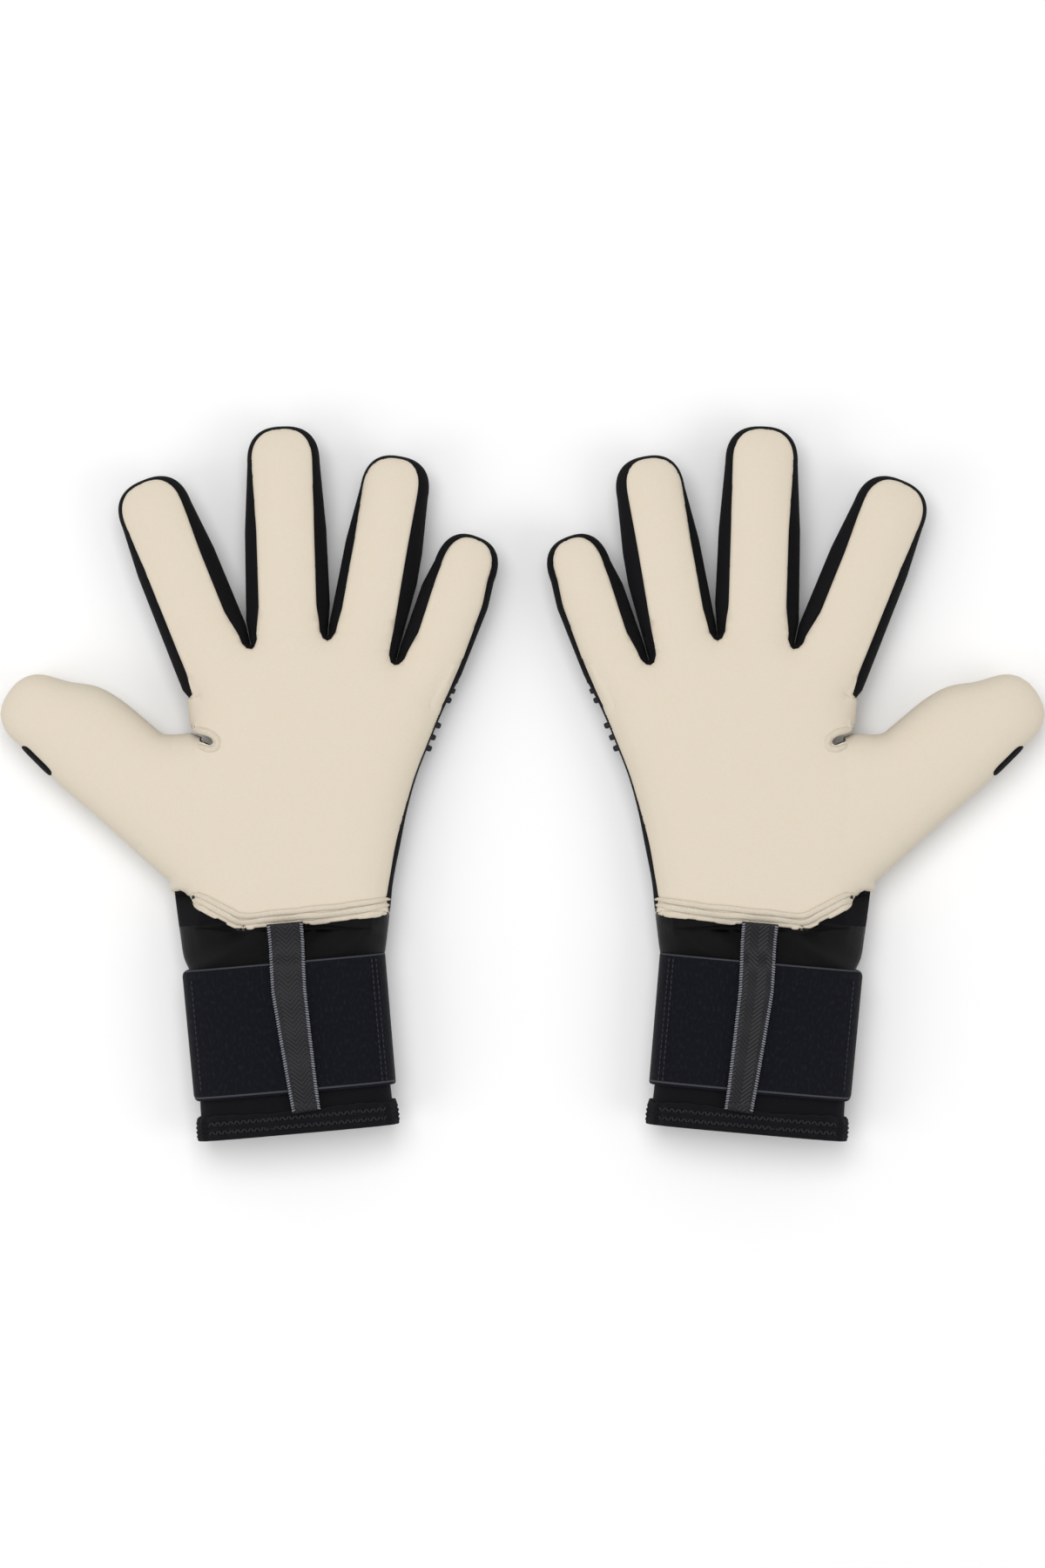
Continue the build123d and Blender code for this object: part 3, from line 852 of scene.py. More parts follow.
def mirrored(points, sign):
    return np.asarray(points, float) * np.array([sign, 1.0, 1.0])


def both(name, points, faces, material, uv=None, normals=None, smooth=True):
    """The piece on both gloves: the right one as drawn, and its mirror image. Gives (side, object) pairs."""
    made = []
    for side, sign in SIDES:
        turned = [tuple(f) if sign > 0 else tuple(f)[::-1] for f in faces]
        bent = None if normals is None else mirrored(normals, sign)
        made.append((side, make_piece(f"{side}_{name}", mirrored(points, sign), turned, material, uv, bent, smooth)))
    return made


def point_m(side, xy, z=0.02):
    """A point seen from above, in millimetres, as a point of that side's glove in metres."""
    return (dict(SIDES)[side] * xy[0] * MM, xy[1] * MM, z)


def attach(side, obj, name, nodes=()):
    """The piece moves with the body or the joint that its region belongs to, and takes its record entries."""
    digit = digits().get(name.split("_")[0])
    if digit and name.endswith("_base"):
        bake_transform(obj)
    elif digit:
        point_m(side, digit.at(digit.tip_from))
        point_m(side, digit.at(digit.tip_to))
        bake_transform(obj)
    elif name == "wrist":
        origin, across, along = cuff_frame()
        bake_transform(obj)
    else:
        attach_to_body(obj, f"{side}_{name}")
    if nodes:
        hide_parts(*[f"{side}_{n}" for n in nodes])


def sweep(path, normals, half_width, half_height, power=2.0, sides=10, closed=False):
    """A rounded bar along a path lying on a surface: its points, faces and UV."""
    path, normals = np.asarray(path, float), np.asarray(normals, float)
    count = len(path)
    tangent = np.gradient(path, axis=0)
    if closed:
        tangent = np.roll(path, -1, axis=0) - np.roll(path, 1, axis=0)
    tangent /= np.maximum(np.linalg.norm(tangent, axis=1), 1e-9)[:, None]
    side = np.cross(tangent, normals)
    side /= np.maximum(np.linalg.norm(side, axis=1), 1e-9)[:, None]
    up = np.cross(side, tangent)
    angle = np.linspace(0, math.tau, sides, endpoint=False)
    x = np.sign(np.cos(angle)) * np.abs(np.cos(angle)) ** (2 / power)
    y = np.sign(np.sin(angle)) * np.abs(np.sin(angle)) ** (2 / power)
    wide = np.broadcast_to(half_width, (count,)) if np.ndim(half_width) <= 1 else half_width
    high = np.broadcast_to(half_height, (count,))
    rings = (path[:, None] + side[:, None] * (wide[:, None] * x)[..., None] + up[:, None] * (high[:, None] * y)[..., None])
    points = rings.reshape(-1, 3)
    run = np.concatenate([[0.0], np.cumsum(np.linalg.norm(np.diff(path, axis=0), axis=1))])
    uv = np.stack([(wide[:, None] * x).ravel(), np.repeat(run, sides)], axis=1)
    faces = []
    for i in range(count if closed else count - 1):
        a, b = i * sides, ((i + 1) % count) * sides
        faces += [(a + k, a + (k + 1) % sides, b + (k + 1) % sides, b + k) for k in range(sides)]
    if not closed:
        faces += [tuple(range(sides))[::-1], tuple((count - 1) * sides + k for k in range(sides))]
    return points, [f[::-1] for f in faces], uv


def joined(parts):
    """Several (points, faces, uv) as one."""
    points, faces, uvs, count = [], [], [], 0
    for p, f, uv in parts:
        points.append(p)
        uvs.append(uv)
        faces += [tuple(i + count for i in face) for face in f]
        count += len(p)
    return np.vstack(points), faces, np.vstack(uvs)


# ------------------------------------------------------------------ hand pieces
def digit_uv(points, name):
    """Cloth coordinates: round the digit or hand, and along it."""
    digit = digits().get(name.split("_")[0]) or digits()["middle"]
    offset = points[:, :2] - digit.knuckle
    across, along = offset @ digit.across, offset @ digit.along
    round_it = across - np.sign(across) * (points[:, 2] - MID_HEIGHT) * 0.8
    return np.stack([round_it if digit.name in name else across, along], axis=1)


def rolled(offset_from_edge, width):
    t = np.clip(offset_from_edge / width, 0.0, 1.0)
    return np.sqrt(1.0 - (1.0 - t) ** 2)


@functools.cache
def thumb_panel():
    """The fabric panel on the thumb's back."""
    digit = digits()["thumb"]
    return spline([tuple(digit.at(s, a)) for s, a in ((-16, -9), (0, -9.5), (30, -9), (50, -7), (58, -2.5), (58, 2.5),
                                                      (50, 6.5), (30, 9.5), (0, 12), (-16, 13), (-19, 2), (-16, -9))], 1.1)[:-1]


@functools.cache
def clothed():
    """The hand's surface with its latex and panels raised, and each triangle's cloth."""
    shape, sizes = hand(), bpy.context.scene.glove_sizes
    inside_latex = inside(latex_outline(), shape.flat)
    latex_in = distance(latex_outline(), shape.flat)
    wrapped = inside(latex_back_outline(), shape.flat) & ~inside(thumb_panel(), shape.flat)
    wrap_in = np.minimum(distance(latex_back_outline(), shape.flat), distance(thumb_panel(), shape.flat))
    panel = inside(back_panel_outline(), shape.flat)
    panel_in = distance(back_panel_outline(), shape.flat)
    palm_lift = np.where(inside_latex, sizes.latex * rolled(latex_in, sizes.latex_roll), 0.0)
    fold = distance(np.array([(129.4, 11.0), (130.6, -4.0), (129.6, -22.0)]), shape.flat, False)
    palm_lift -= 0.28 * np.exp(-((fold / 1.7) ** 2))
    back_lift = np.where(wrapped, sizes.latex * rolled(wrap_in, sizes.latex_roll), 0.0)
    back_lift = np.maximum(back_lift, np.where(panel, sizes.back_panel * rolled(panel_in, sizes.back_roll), 0.0))
    lift = np.concatenate([palm_lift, back_lift])
    points = shape.points + shape.normals * lift[:, None]
    centres = shape.centres
    palm_cloth = np.where(inside(latex_outline(), centres), "latex", "knit")
    wraps = inside(latex_back_outline(), centres) & ~inside(thumb_panel(), centres)
    back_cloth = np.where(wraps, "latex", np.where(inside(back_panel_outline(), centres), "panel", "knit"))
    back_cloth = np.where(inside(thumb_panel(), centres), "panel", back_cloth)
    cloth = np.concatenate([palm_cloth, back_cloth])
    region = np.concatenate([shape.regions()] * 2)
    region = np.where((region == "wrist") & (cloth == "latex"), "hand", region)
    return points, vertex_normals(points, shape.solid_triangles), shape.solid_triangles, region, cloth


def slit_wall():
    """The dark inside of the slit, from the palm's rim down to the back's."""
    shape = hand()
    i, j = shape.rim_edges[:, 0], shape.rim_edges[:, 1]
    use = ~(shape.shared[i] & shape.shared[j]) & (shape.flat[i, 1] > 0.0)
    i, j = i[use], j[use]
    step = shape.flat[j] - shape.flat[i]
    beside = (shape.flat[i] + shape.flat[j]) / 2 + np.column_stack([step[:, 1], -step[:, 0]]) * 0.05
    turned = inside(shape.edge, beside)
    i, j = np.where(turned, j, i), np.where(turned, i, j)
    points = np.vstack([shape.palm[i], shape.palm[j], shape.back[j], shape.back[i]])
    n = len(i)
    return points, [(3 * n + k, 2 * n + k, n + k, k) for k in range(n)], np.zeros((4 * n, 2))


def make_hand_pieces():
    points, normals, triangles, region, cloth = clothed()
    materials = {"latex": latex_material(), "knit": knit_material(), "panel": jersey_material()}
    for name in ["hand"] + [f"{d}_{part}" for d in DIGITS for part in ("base", "tip")] + ["wrist"]:
        for front in (True, False):
            use = (region == name) & ((cloth == "latex") == front)
            if not use.any():
                continue
            faces = triangles[use]
            kept, local = np.unique(faces, return_inverse=True)
            local = local.reshape(faces.shape)
            label = {"hand": "palm_latex" if front else "hand_shell", "wrist": "wrist_panel"}.get(
                name, f"{name}_{'front' if front else 'shell'}")
            kinds = ["latex"] if front else ["knit", "panel"]
            used = [materials[k] for k in kinds]
            if name == "wrist":
                used = [materials["panel"]] * 2
            uv = digit_uv(points[kept], name)
            for side, obj in both(label, points[kept], local, used, uv, normals[kept]):
                obj.data.polygons.foreach_set("material_index", [kinds.index(c) for c in cloth[use]])
                attach(side, obj, name, [label])
    for side, obj in both("slit_lining", *slit_wall()[:2], knit_material(), slit_wall()[2]):
        attach(side, obj, "hand", ())


def on_latex(line, raise_by):
    """Points above the palm along a line seen from above, and the palm's normals there."""
    found = [on_palm(x, y) for x, y in line]
    path = np.array([p for p, n in found])
    normals = np.array([n for p, n in found])
    return path + normals * raise_by, normals


def make_trim():
    """The rolled edge round the slit and the stacked layers of the hem."""
    parts = []
    lip = spline([(135.6, 26.4), (133.4, 24.2), (129.2, 21.6), (124.8, 20.2), (121.8, 17.4), (122.6, 14.2),
                  (126.0, 13.6), (130.6, 15.2)], 0.7)
    path, normals = on_latex(lip, 0.9)
    wide = 1.65 * np.sqrt(np.clip(1 - np.abs(np.linspace(-1, 1, len(lip))) ** 6, 0.06, 1))
    parts.append(sweep(path, normals, wide, wide * 0.95))
    for layer, (inward, raise_by, width) in enumerate(((-0.1, 0.5, 1.5), (2.6, 1.35, 1.35), (5.1, 1.7, 1.2))):
        line = straight([(x, y + inward) for x, y in HEM_LINE[1:]], 1.0)
        line = np.array([p for p in line if 53.9 < p[0] < 134.6 - inward * 0.4])
        kernel = np.ones(5) / 5
        line[2:-2, 1] = np.convolve(line[:, 1], kernel, "valid")
        path, normals = on_latex(line, raise_by)
        fade = np.sqrt(np.clip(1 - np.abs(np.linspace(-1, 1, len(line))) ** 14, 0.1, 1))
        parts.append(sweep(path, normals, width * fade, 0.95 * fade, 3.0, 12))
    for side, obj in both("palm_trim", *joined(parts)[:2], raw_foam_material(), joined(parts)[2]):
        attach(side, obj, "hand", ["palm_trim"])
    tack, tack_normals = on_latex([(130.9, -44.0), (130.6, -46.4)], 2.4)
    vent = np.linspace((200.6, 16.6), (188.2, 4.2), 15)
    vent_path, vent_normals = on_latex(vent, 1.1)
    taper = np.sqrt(np.clip(1 - np.linspace(-1, 1, 15) ** 6, 0.02, 1))
    parts = [sweep(tack, tack_normals, 0.8, 0.35, 2.0, 8)]
    for side, obj in both("hem_tack", *parts[0][:2], dark_thread_material(), parts[0][2]):
        attach(side, obj, "hand", ())
    made = sweep(vent_path, vent_normals, 3.5 * taper, 1.0 * taper, 2.6, 14)
    for side, obj in both("thumb_vent", *made[:2], knit_material(), made[2]):
        attach(side, obj, "thumb_tip", ())


# ------------------------------------------------------------------ repeats, by Geometry Nodes
@functools.cache
def repeat_tree():
    """Copies of one mesh, one on each point of another, turned by the points' 'turn' and sized by their 'size'."""
    tree = bpy.data.node_groups.new("Copies on points", "GeometryNodeTree")
    face = tree.interface
    face.new_socket("Points", in_out="INPUT", socket_type="NodeSocketGeometry")
    face.new_socket("Piece", in_out="INPUT", socket_type="NodeSocketObject")
    face.new_socket("Material", in_out="INPUT", socket_type="NodeSocketMaterial")
    uneven = face.new_socket("Unevenness", in_out="INPUT", socket_type="NodeSocketFloat")
    uneven.default_value = 0.04
    seed = face.new_socket("Seed", in_out="INPUT", socket_type="NodeSocketInt")
    seed.default_value = 7
    face.new_socket("Copies", in_out="OUTPUT", socket_type="NodeSocketGeometry")
    start = node(tree, "NodeGroupInput").outputs
    piece = node(tree, "GeometryNodeObjectInfo", {"Object": start["Piece"]}, transform_space="ORIGINAL")
    turn = node(tree, "GeometryNodeInputNamedAttribute", {"Name": "turn"}, data_type="FLOAT_VECTOR")
    size = node(tree, "GeometryNodeInputNamedAttribute", {"Name": "size"}, data_type="FLOAT_VECTOR")
    least = math_node(tree, "SUBTRACT", 1.0, start["Unevenness"])
    most = math_node(tree, "ADD", 1.0, start["Unevenness"])
    vary = node(tree, "FunctionNodeRandomValue", {"Min": least, "Max": most, "Seed": start["Seed"]})
    scale = node(tree, "ShaderNodeVectorMath", {0: size.outputs[0]}, operation="SCALE")
    tree.links.new(vary.outputs[1], scale.inputs["Scale"])
    vary.data_type = "FLOAT"
    points = node(tree, "GeometryNodeMeshToPoints", {"Mesh": start["Points"]})
    copies = node(tree, "GeometryNodeInstanceOnPoints", {"Points": points.outputs[0], "Instance": piece.outputs["Geometry"],
                                                         "Rotation": turn.outputs[0], "Scale": scale.outputs[0]})
    whole = node(tree, "GeometryNodeRealizeInstances", {"Geometry": copies.outputs[0]})
    finish = node(tree, "GeometryNodeSetMaterial", {"Geometry": whole.outputs[0], "Material": start["Material"]})
    node(tree, "NodeGroupOutput", {"Copies": finish.outputs[0]})
    return tree


def copies(name, places, unit, material, uneven=0.04, seed=7):
    """Copies of the unit mesh at places, each (point, along, up, size), as one piece on each glove."""
    made = []
    for side, sign in SIDES:
        turns, points = [], []
        for where, along, up, size in places:
            along, up = Vector(mirrored(along, sign)).normalized(), Vector(mirrored(up, sign)).normalized()
            across = along.cross(up).normalized()
            along = up.cross(across).normalized()
            turn = Matrix((across, along, up)).transposed().to_euler()
            turns += list(turn)
            points.append(tuple(mirrored(where, sign) * MM))
        mesh = bpy.data.meshes.new(f"{side}_{name}_points")
        mesh.from_pydata(points, [], [])
        mesh.attributes.new("turn", "FLOAT_VECTOR", "POINT").data.foreach_set("vector", turns)
        sizes = [s for *_, size in places for s in size]
        mesh.attributes.new("size", "FLOAT_VECTOR", "POINT").data.foreach_set("vector", sizes)
        carrier = bpy.data.objects.new(f"{side}_{name}_points", mesh)
        bpy.context.scene.collection.objects.link(carrier)
        modifier = carrier.modifiers.new("Copies", "NODES")
        modifier.node_group = repeat_tree()
        values = {"Piece": unit, "Material": material, "Unevenness": uneven, "Seed": seed}
        for item in repeat_tree().interface.items_tree:
            if item.in_out == "INPUT" and item.name in values:
                modifier[item.identifier] = values[item.name]
        bpy.context.view_layer.update()
        graph = bpy.context.evaluated_depsgraph_get()
        whole = bpy.data.meshes.new_from_object(carrier.evaluated_get(graph))
        whole.name = f"{side}_{name}"
        obj = bpy.data.objects.new(f"{side}_{name}", whole)
        bpy.context.scene.collection.objects.link(obj)
        bpy.data.objects.remove(carrier)
        whole.polygons.foreach_set("use_smooth", [True] * len(whole.polygons))
        made.append((side, obj))
    return made


def unit_mesh(name, points, faces):
    """A mesh in millimetres to be copied; it is not shown itself."""
    made = make_piece(name, points, faces, thread_material())
    bpy.context.scene.collection.objects.unlink(made)
    return made


def capsule(length, radius):
    """One stitch: a rounded bar along Y."""
    y = np.linspace(-length / 2, length / 2, 7)
    thick = radius * np.sqrt(np.clip(1 - (np.abs(y) / (length / 2)) ** 4, 0.05, 1))
    path = np.stack([y * 0, y, y * 0], axis=1)
    return sweep(path, np.tile((0, 0, 1.0), (7, 1)), thick, thick * 0.8, 2.0, 6)[:2]


def dome(length, width, height):
    """A moulded pad: a block with rounded top edges, standing on its underside."""
    levels = ((1.0, 0.0), (1.0, 0.45), (0.97, 0.72), (0.88, 0.9), (0.7, 1.0), (0.3, 1.03))
    angle = np.linspace(0, math.tau, 24, endpoint=False)
    x = np.sign(np.cos(angle)) * np.abs(np.cos(angle)) ** 0.55 * length / 2
    y = np.sign(np.sin(angle)) * np.abs(np.sin(angle)) ** 0.55 * width / 2
    points = np.vstack([np.stack([x * s, y * s, np.full(24, h * height)], axis=1) for s, h in levels])
    faces = [(i * 24 + k, i * 24 + (k + 1) % 24, (i + 1) * 24 + (k + 1) % 24, (i + 1) * 24 + k)
             for i in range(len(levels) - 1) for k in range(24)]
    return points, faces + [tuple(range(24))[::-1], tuple((len(levels) - 1) * 24 + k for k in range(24))]


def make_punch_zone():
    """The rubber pads on the back, and the small spikes along the little-finger side."""
    block = unit_mesh("pad_unit", *dome(1.0, 1.0, 1.0))
    places = []
    mesh = frame["nodes"]["right_punch_pads"].data
    corners = np.array([v.co[:] for v in mesh.vertices]) / MM
    for group in clusters(corners[:, :2], (10.5, 7.5)):
        centre = corners[group, :2].mean(axis=0)
        where, _ = on_back(*centre)
        low = corners[group, 2].min() + 0.1
        places.append(((centre[0], centre[1], where[2] + 0.9), (0, 1, 0), (0, 0, -1), (10.0, 7.0, where[2] + 0.9 - low)))
    for side, obj in copies("punch_pads", places, block, rubber_material(), 0.0):
        attach(side, obj, "hand", ["punch_pads"])
    spikes = []
    for y in (15.2, 19.6, 24.4, 34.6, 38.4, 42.2):
        x = float(np.interp(y, [3.0, 17.0, 31.0, 45.0], [43.4, 37.9, 32.2, 26.3]))
        spikes.append(((x + 1.2, y, MID_HEIGHT - 4.5), (0.4, 1, 0), (-1, -0.4, -0.12), (2.2, 2.3, 3.0)))
    for side, obj in copies("punch_spikes", spikes, block, rubber_material(), 0.12, 3):
        attach(side, obj, "hand", ())


def clusters(points, reach):
    """Groups of points that lie within reach of their group's first point, along X and along Y."""
    left, groups = list(range(len(points))), []
    while left:
        first = points[left[0]]
        group = [i for i in left if (np.abs(points[i] - first) < reach).all()]
        groups.append(group)
        left = [i for i in left if i not in set(group)]
    return groups


# ------------------------------------------------------------------ cuff pieces
CUFF_CENTRE_Z = 17.0
STRAP_FROM, STRAP_TO = 8.5, 61.5
CUFF_END, BAND_FROM = 77.6, 68.0
CUFF_POWER = 3.0


def cuff_loop(half_width, half_height, count, power=CUFF_POWER):
    """Points round the cuff's section: across it and up from its centre, starting at the thumb side."""
    angle = np.linspace(0, math.tau, count, endpoint=False)
    across = np.sign(np.cos(angle)) * np.abs(np.cos(angle)) ** (2 / power) * half_width
    up = np.sign(np.sin(angle)) * np.abs(np.sin(angle)) ** (2 / power) * half_height
    return across, up


def tube(stations, count, closed_lips=True, power=CUFF_POWER, ripple=None, shift=None):
    """A sleeve round the cuff through stations (along, half_width, half_height)."""
    origin, right, ahead = cuff_frame()
    rings, uvs, run = [], [], 0.0
    for k, (along, half_width, half_height) in enumerate(stations):
        if k:
            before = stations[k - 1]
            run += math.hypot(along - before[0], half_height - before[2])
        grow = 0.0 if ripple is None else ripple(along, np.arange(count) / count)
        across, up = cuff_loop(half_width + grow, half_height + grow, count, power)
        moved = along + (0.0 if shift is None else shift(along, np.arange(count) / count))
        flat_points = origin + across[:, None] * right - np.broadcast_to(moved, (count,))[:, None] * ahead
        rings.append(np.column_stack([flat_points, CUFF_CENTRE_Z + up]))
        turn = np.concatenate([[0.0], np.cumsum(np.hypot(np.diff(across), np.diff(up)))])
        uvs.append(np.column_stack([turn, np.full(count, run)]))
    points, uv = np.vstack(rings), np.vstack(uvs)
    faces = [(i * count + k, i * count + (k + 1) % count, (i + 1) * count + (k + 1) % count, (i + 1) * count + k)
             for i in range(len(stations) - 1) for k in range(count)]
    if closed_lips:
        last = (len(stations) - 1) * count
        faces += [(last + k, last + (k + 1) % count, (k + 1) % count, k) for k in range(count)]
    return points, [f[::-1] for f in faces], uv


def shell_stations(outer, thickness, start, end, rounding, step):
    """Stations of a closed sleeve with rounded edges; outer gives the half sizes at a distance along."""
    mid = np.arange(start + rounding, end - rounding + 0.01, step)
    nose = [(start + rounding - rounding * math.cos(a), rounding - rounding * math.sin(a))
            for a in np.linspace(0, math.pi / 2, 4)]
    tail = [(end - rounding + rounding * math.sin(a), rounding - rounding * math.cos(a))
            for a in np.linspace(0, math.pi / 2, 4)]
    line = nose + [(x, 0.0) for x in mid[1:-1]] + tail
    stations = [(x, outer(x)[0] - drop, outer(x)[1] - drop) for x, drop in line]
    stations += [(x, outer(x)[0] - thickness, outer(x)[1] - thickness) for x in (end, (start + end) / 2, start)]
    return stations


def strap_size(along):
    """The strap's half width and height: a little narrower towards the open end, and waved by its edges."""
    t = (along - STRAP_FROM) / (STRAP_TO - STRAP_FROM)
    return 41.0 - 0.3 * t, 14.0


def cuff_size(along):
    flare = max(0.0, along - STRAP_TO) / 16.0
    return 38.4 + 0.5 * flare, 11.5 + 0.2 * flare


def make_cuff():
    count = 200
    fine = 2.0
    sleeve = shell_stations(cuff_size, 1.6, 11.0, CUFF_END - 0.6, 0.7, fine)
    points, faces, uv = tube(sleeve, count)
    uv = uv[:, ::-1]
    for side, obj in both("cuff", points, faces, cuff_material(), uv):
        attach(side, obj, "wrist_cuff", ["cuff"])

    def corners(along, turn):
        near = np.exp(-((((turn + 0.5) % 1.0 - 0.5) / 0.028) ** 2))
        middle = (STRAP_FROM + STRAP_TO) / 2
        return near * 2.4 * -math.copysign(min(1.0, abs(along - middle) / 26.5) ** 6, along - middle)

    strap = tube(shell_stations(strap_size, 2.2, STRAP_FROM, STRAP_TO, 0.9, fine), count, shift=corners)
    for side, obj in both("wrist_strap", strap[0], strap[1], strap_material(), strap[2]):
        attach(side, obj, "wrist_cuff", ["wrist_strap"])

    def ripple(along, turn):
        level = math.sin(math.pi * min(1.0, max(0.0, (along - BAND_FROM) / 10.0)))
        waves = 0.3 * np.sin(turn * math.tau * 19) + 0.2 * np.sin(turn * math.tau * 31 + 1.0)
        ribs = 0.28 * math.cos(math.tau * (along - BAND_FROM) / 1.9)
        return waves * (0.3 + 0.7 * level) + ribs * level

    def uneven_edges(along, turn):
        wave_out = 0.45 * np.sin(turn * math.tau * 5 + 0.6) + 0.2 * np.sin(turn * math.tau * 23)
        return wave_out * math.cos(math.pi * (along - BAND_FROM) / 19.0)

    band = shell_stations(lambda a: (cuff_size(a)[0] + 1.7, cuff_size(a)[1] + 1.5), 1.6, BAND_FROM, CUFF_END, 0.8, fine / 5)
    made = tube(band, count, ripple=ripple, shift=uneven_edges)
    for side, obj in both("cuff_band", made[0], made[1], cuff_material(), made[2][:, ::-1]):
        attach(side, obj, "wrist_cuff", ["cuff_band"])
    make_stitches()


def on_cuff(across, along, lift=0.0, size=strap_size, side=1.0):
    """A point on the palm side (+1) or back (-1) of a layer round the cuff, and its normal."""
    origin, right, ahead = cuff_frame()
    half_width, half_height = size(along)
    t = min(0.999, abs(across) / half_width)
    up = half_height * (1 - t**CUFF_POWER) ** (1 / CUFF_POWER)
    slope = (t ** (CUFF_POWER - 1)) / half_width, (up / half_height) ** (CUFF_POWER - 1) / half_height
    normal = np.array([*(right * math.copysign(slope[0], across)), side * slope[1]])
    normal /= np.linalg.norm(normal)
    where = np.array([*(origin + across * right - along * ahead), CUFF_CENTRE_Z + side * up])
    return where + normal * lift, normal


def stitch_run(line, pitch, lift, size, radius=1.0, side=1.0):
    """Places for stitches along a line of (across, along) on the cuff."""
    line = straight(line, pitch)
    places = []
    for a, b in zip(line, line[1:]):
        middle = (a + b) / 2
        where, normal = on_cuff(*middle, lift, size, side)
        ahead = on_cuff(*b, lift, size, side)[0] - on_cuff(*a, lift, size, side)[0]
        places.append((where, ahead, normal, (radius, float(np.linalg.norm(ahead)) * 0.78, radius)))
    return places


def band_size(along):
    return cuff_size(along)[0] + 2.0, cuff_size(along)[1] + 1.8


def make_stitches():
    """Stitch lines on the strap, and the zig-zag that holds the elastic band."""
    stitch = unit_mesh("stitch_unit", *capsule(1.0, 0.28))
    lines = []
    for across in (-37.3, -35.6):
        lines += stitch_run([(across, STRAP_FROM + 1.6), (across, STRAP_TO - 1.6)], 2.2, 0.0, strap_size)
    lines += stitch_run([(37.2, STRAP_FROM + 4.0), (37.2, STRAP_TO - 4.0)], 2.2, 0.0, strap_size)
    for side, obj in copies("strap_stitches", lines, stitch, dark_thread_material(), 0.06):
        attach(side, obj, "wrist_cuff", ())
    run = []
    for low in (69.9, 73.4):
        zigzag = [(x, low + (k % 2) * 2.0) for k, x in enumerate(np.arange(-36.0, 36.1, 1.3))]
        run += stitch_run(zigzag, 2.4, 0.05, band_size) + stitch_run(zigzag, 2.4, 0.05, band_size, side=-1.0)
    for side, obj in copies("band_stitches", run, stitch, dark_thread_material(), 0.08, 5):
        attach(side, obj, "wrist_cuff", ())


TAPE_CENTRES = [(7.0, -2.3), (0.0, -2.3), (-20.0, -1.6), (-40.0, -2.6), (-60.0, -3.7), (-69.5, -4.4)]


def tape_height(along):
    """How high the tape's middle lies at a distance towards the hand (positive) or the open end."""
    stations = (7.0, 1.0, -5.5, -9.5, -13.0, -60.5, -63.0, -66.5, -69.5)
    heights = (30.2, 29.4, 29.5, 31.4, 31.75, 31.75, 31.2, 30.9, 30.7)
    return float(np.interp(-along, [-s for s in stations], heights))


def make_tape():
    """The pull tape from under the hem over the strap, with its looped edges and its bar tack."""
    origin, right, ahead = cuff_frame()
    along = np.arange(7.0, -69.6, -1.0)
    centre = np.interp(-along, [-a for a, _ in TAPE_CENTRES], [c for _, c in TAPE_CENTRES])
    half = np.interp(-along, (-7.0, 20.0, 60.0, 69.5), (7.3, 7.1, 6.0, 5.8))
    heights = np.convolve(np.pad([tape_height(a) for a in along], 2, "edge"), np.ones(5) / 5, "valid")
    middle = origin + centre[:, None] * right + along[:, None] * ahead
    path = np.column_stack([middle, heights + 0.12 * np.sin(along * 0.45)])
    up = np.tile((0.0, 0.0, 1.0), (len(path), 1))
    made = sweep(path, up, half, 0.5, 5.0, 16)
    for side, obj in both("pull_tape", *made[:2], tape_material(), made[2]):
        attach(side, obj, "wrist", ["pull_tape"])
    stitch = unit_mesh("tape_unit", *capsule(1.0, 0.3))
    loops = []
    for edge in (-1.0, 1.0):
        for k in range(1, len(path) - 1):
            out = np.array([*(right * edge), 0.0])
            where = path[k] + out * (half[k] - 0.75) + np.array([0.0, 0.0, 0.42])
            loops.append((where, out + 0.35 * (path[k] - path[k - 1]), (0, 0, 1), (1.1, 1.5, 1.1)))
    for side, obj in copies("tape_edges", loops, stitch, thread_material(), 0.1, 9):
        attach(side, obj, "wrist", ())
    tack = []
    for k, x in enumerate(np.arange(-4.2, 4.3, 1.05)):
        across = float(centre[-5]) + x
        where = np.array([*(origin + across * right - 66.6 * ahead), path[-4][2] + 0.55])
        slant = np.array([*(right * 0.5 + ahead * (1.0 if k % 2 else -1.0)), 0.0])
        tack.append((where, slant, (0, 0, 1), (1.1, 2.4, 1.0)))
    for side, obj in copies("tape_tack", tack, stitch, dark_thread_material(), 0.05, 11):
        attach(side, obj, "wrist_cuff", ())


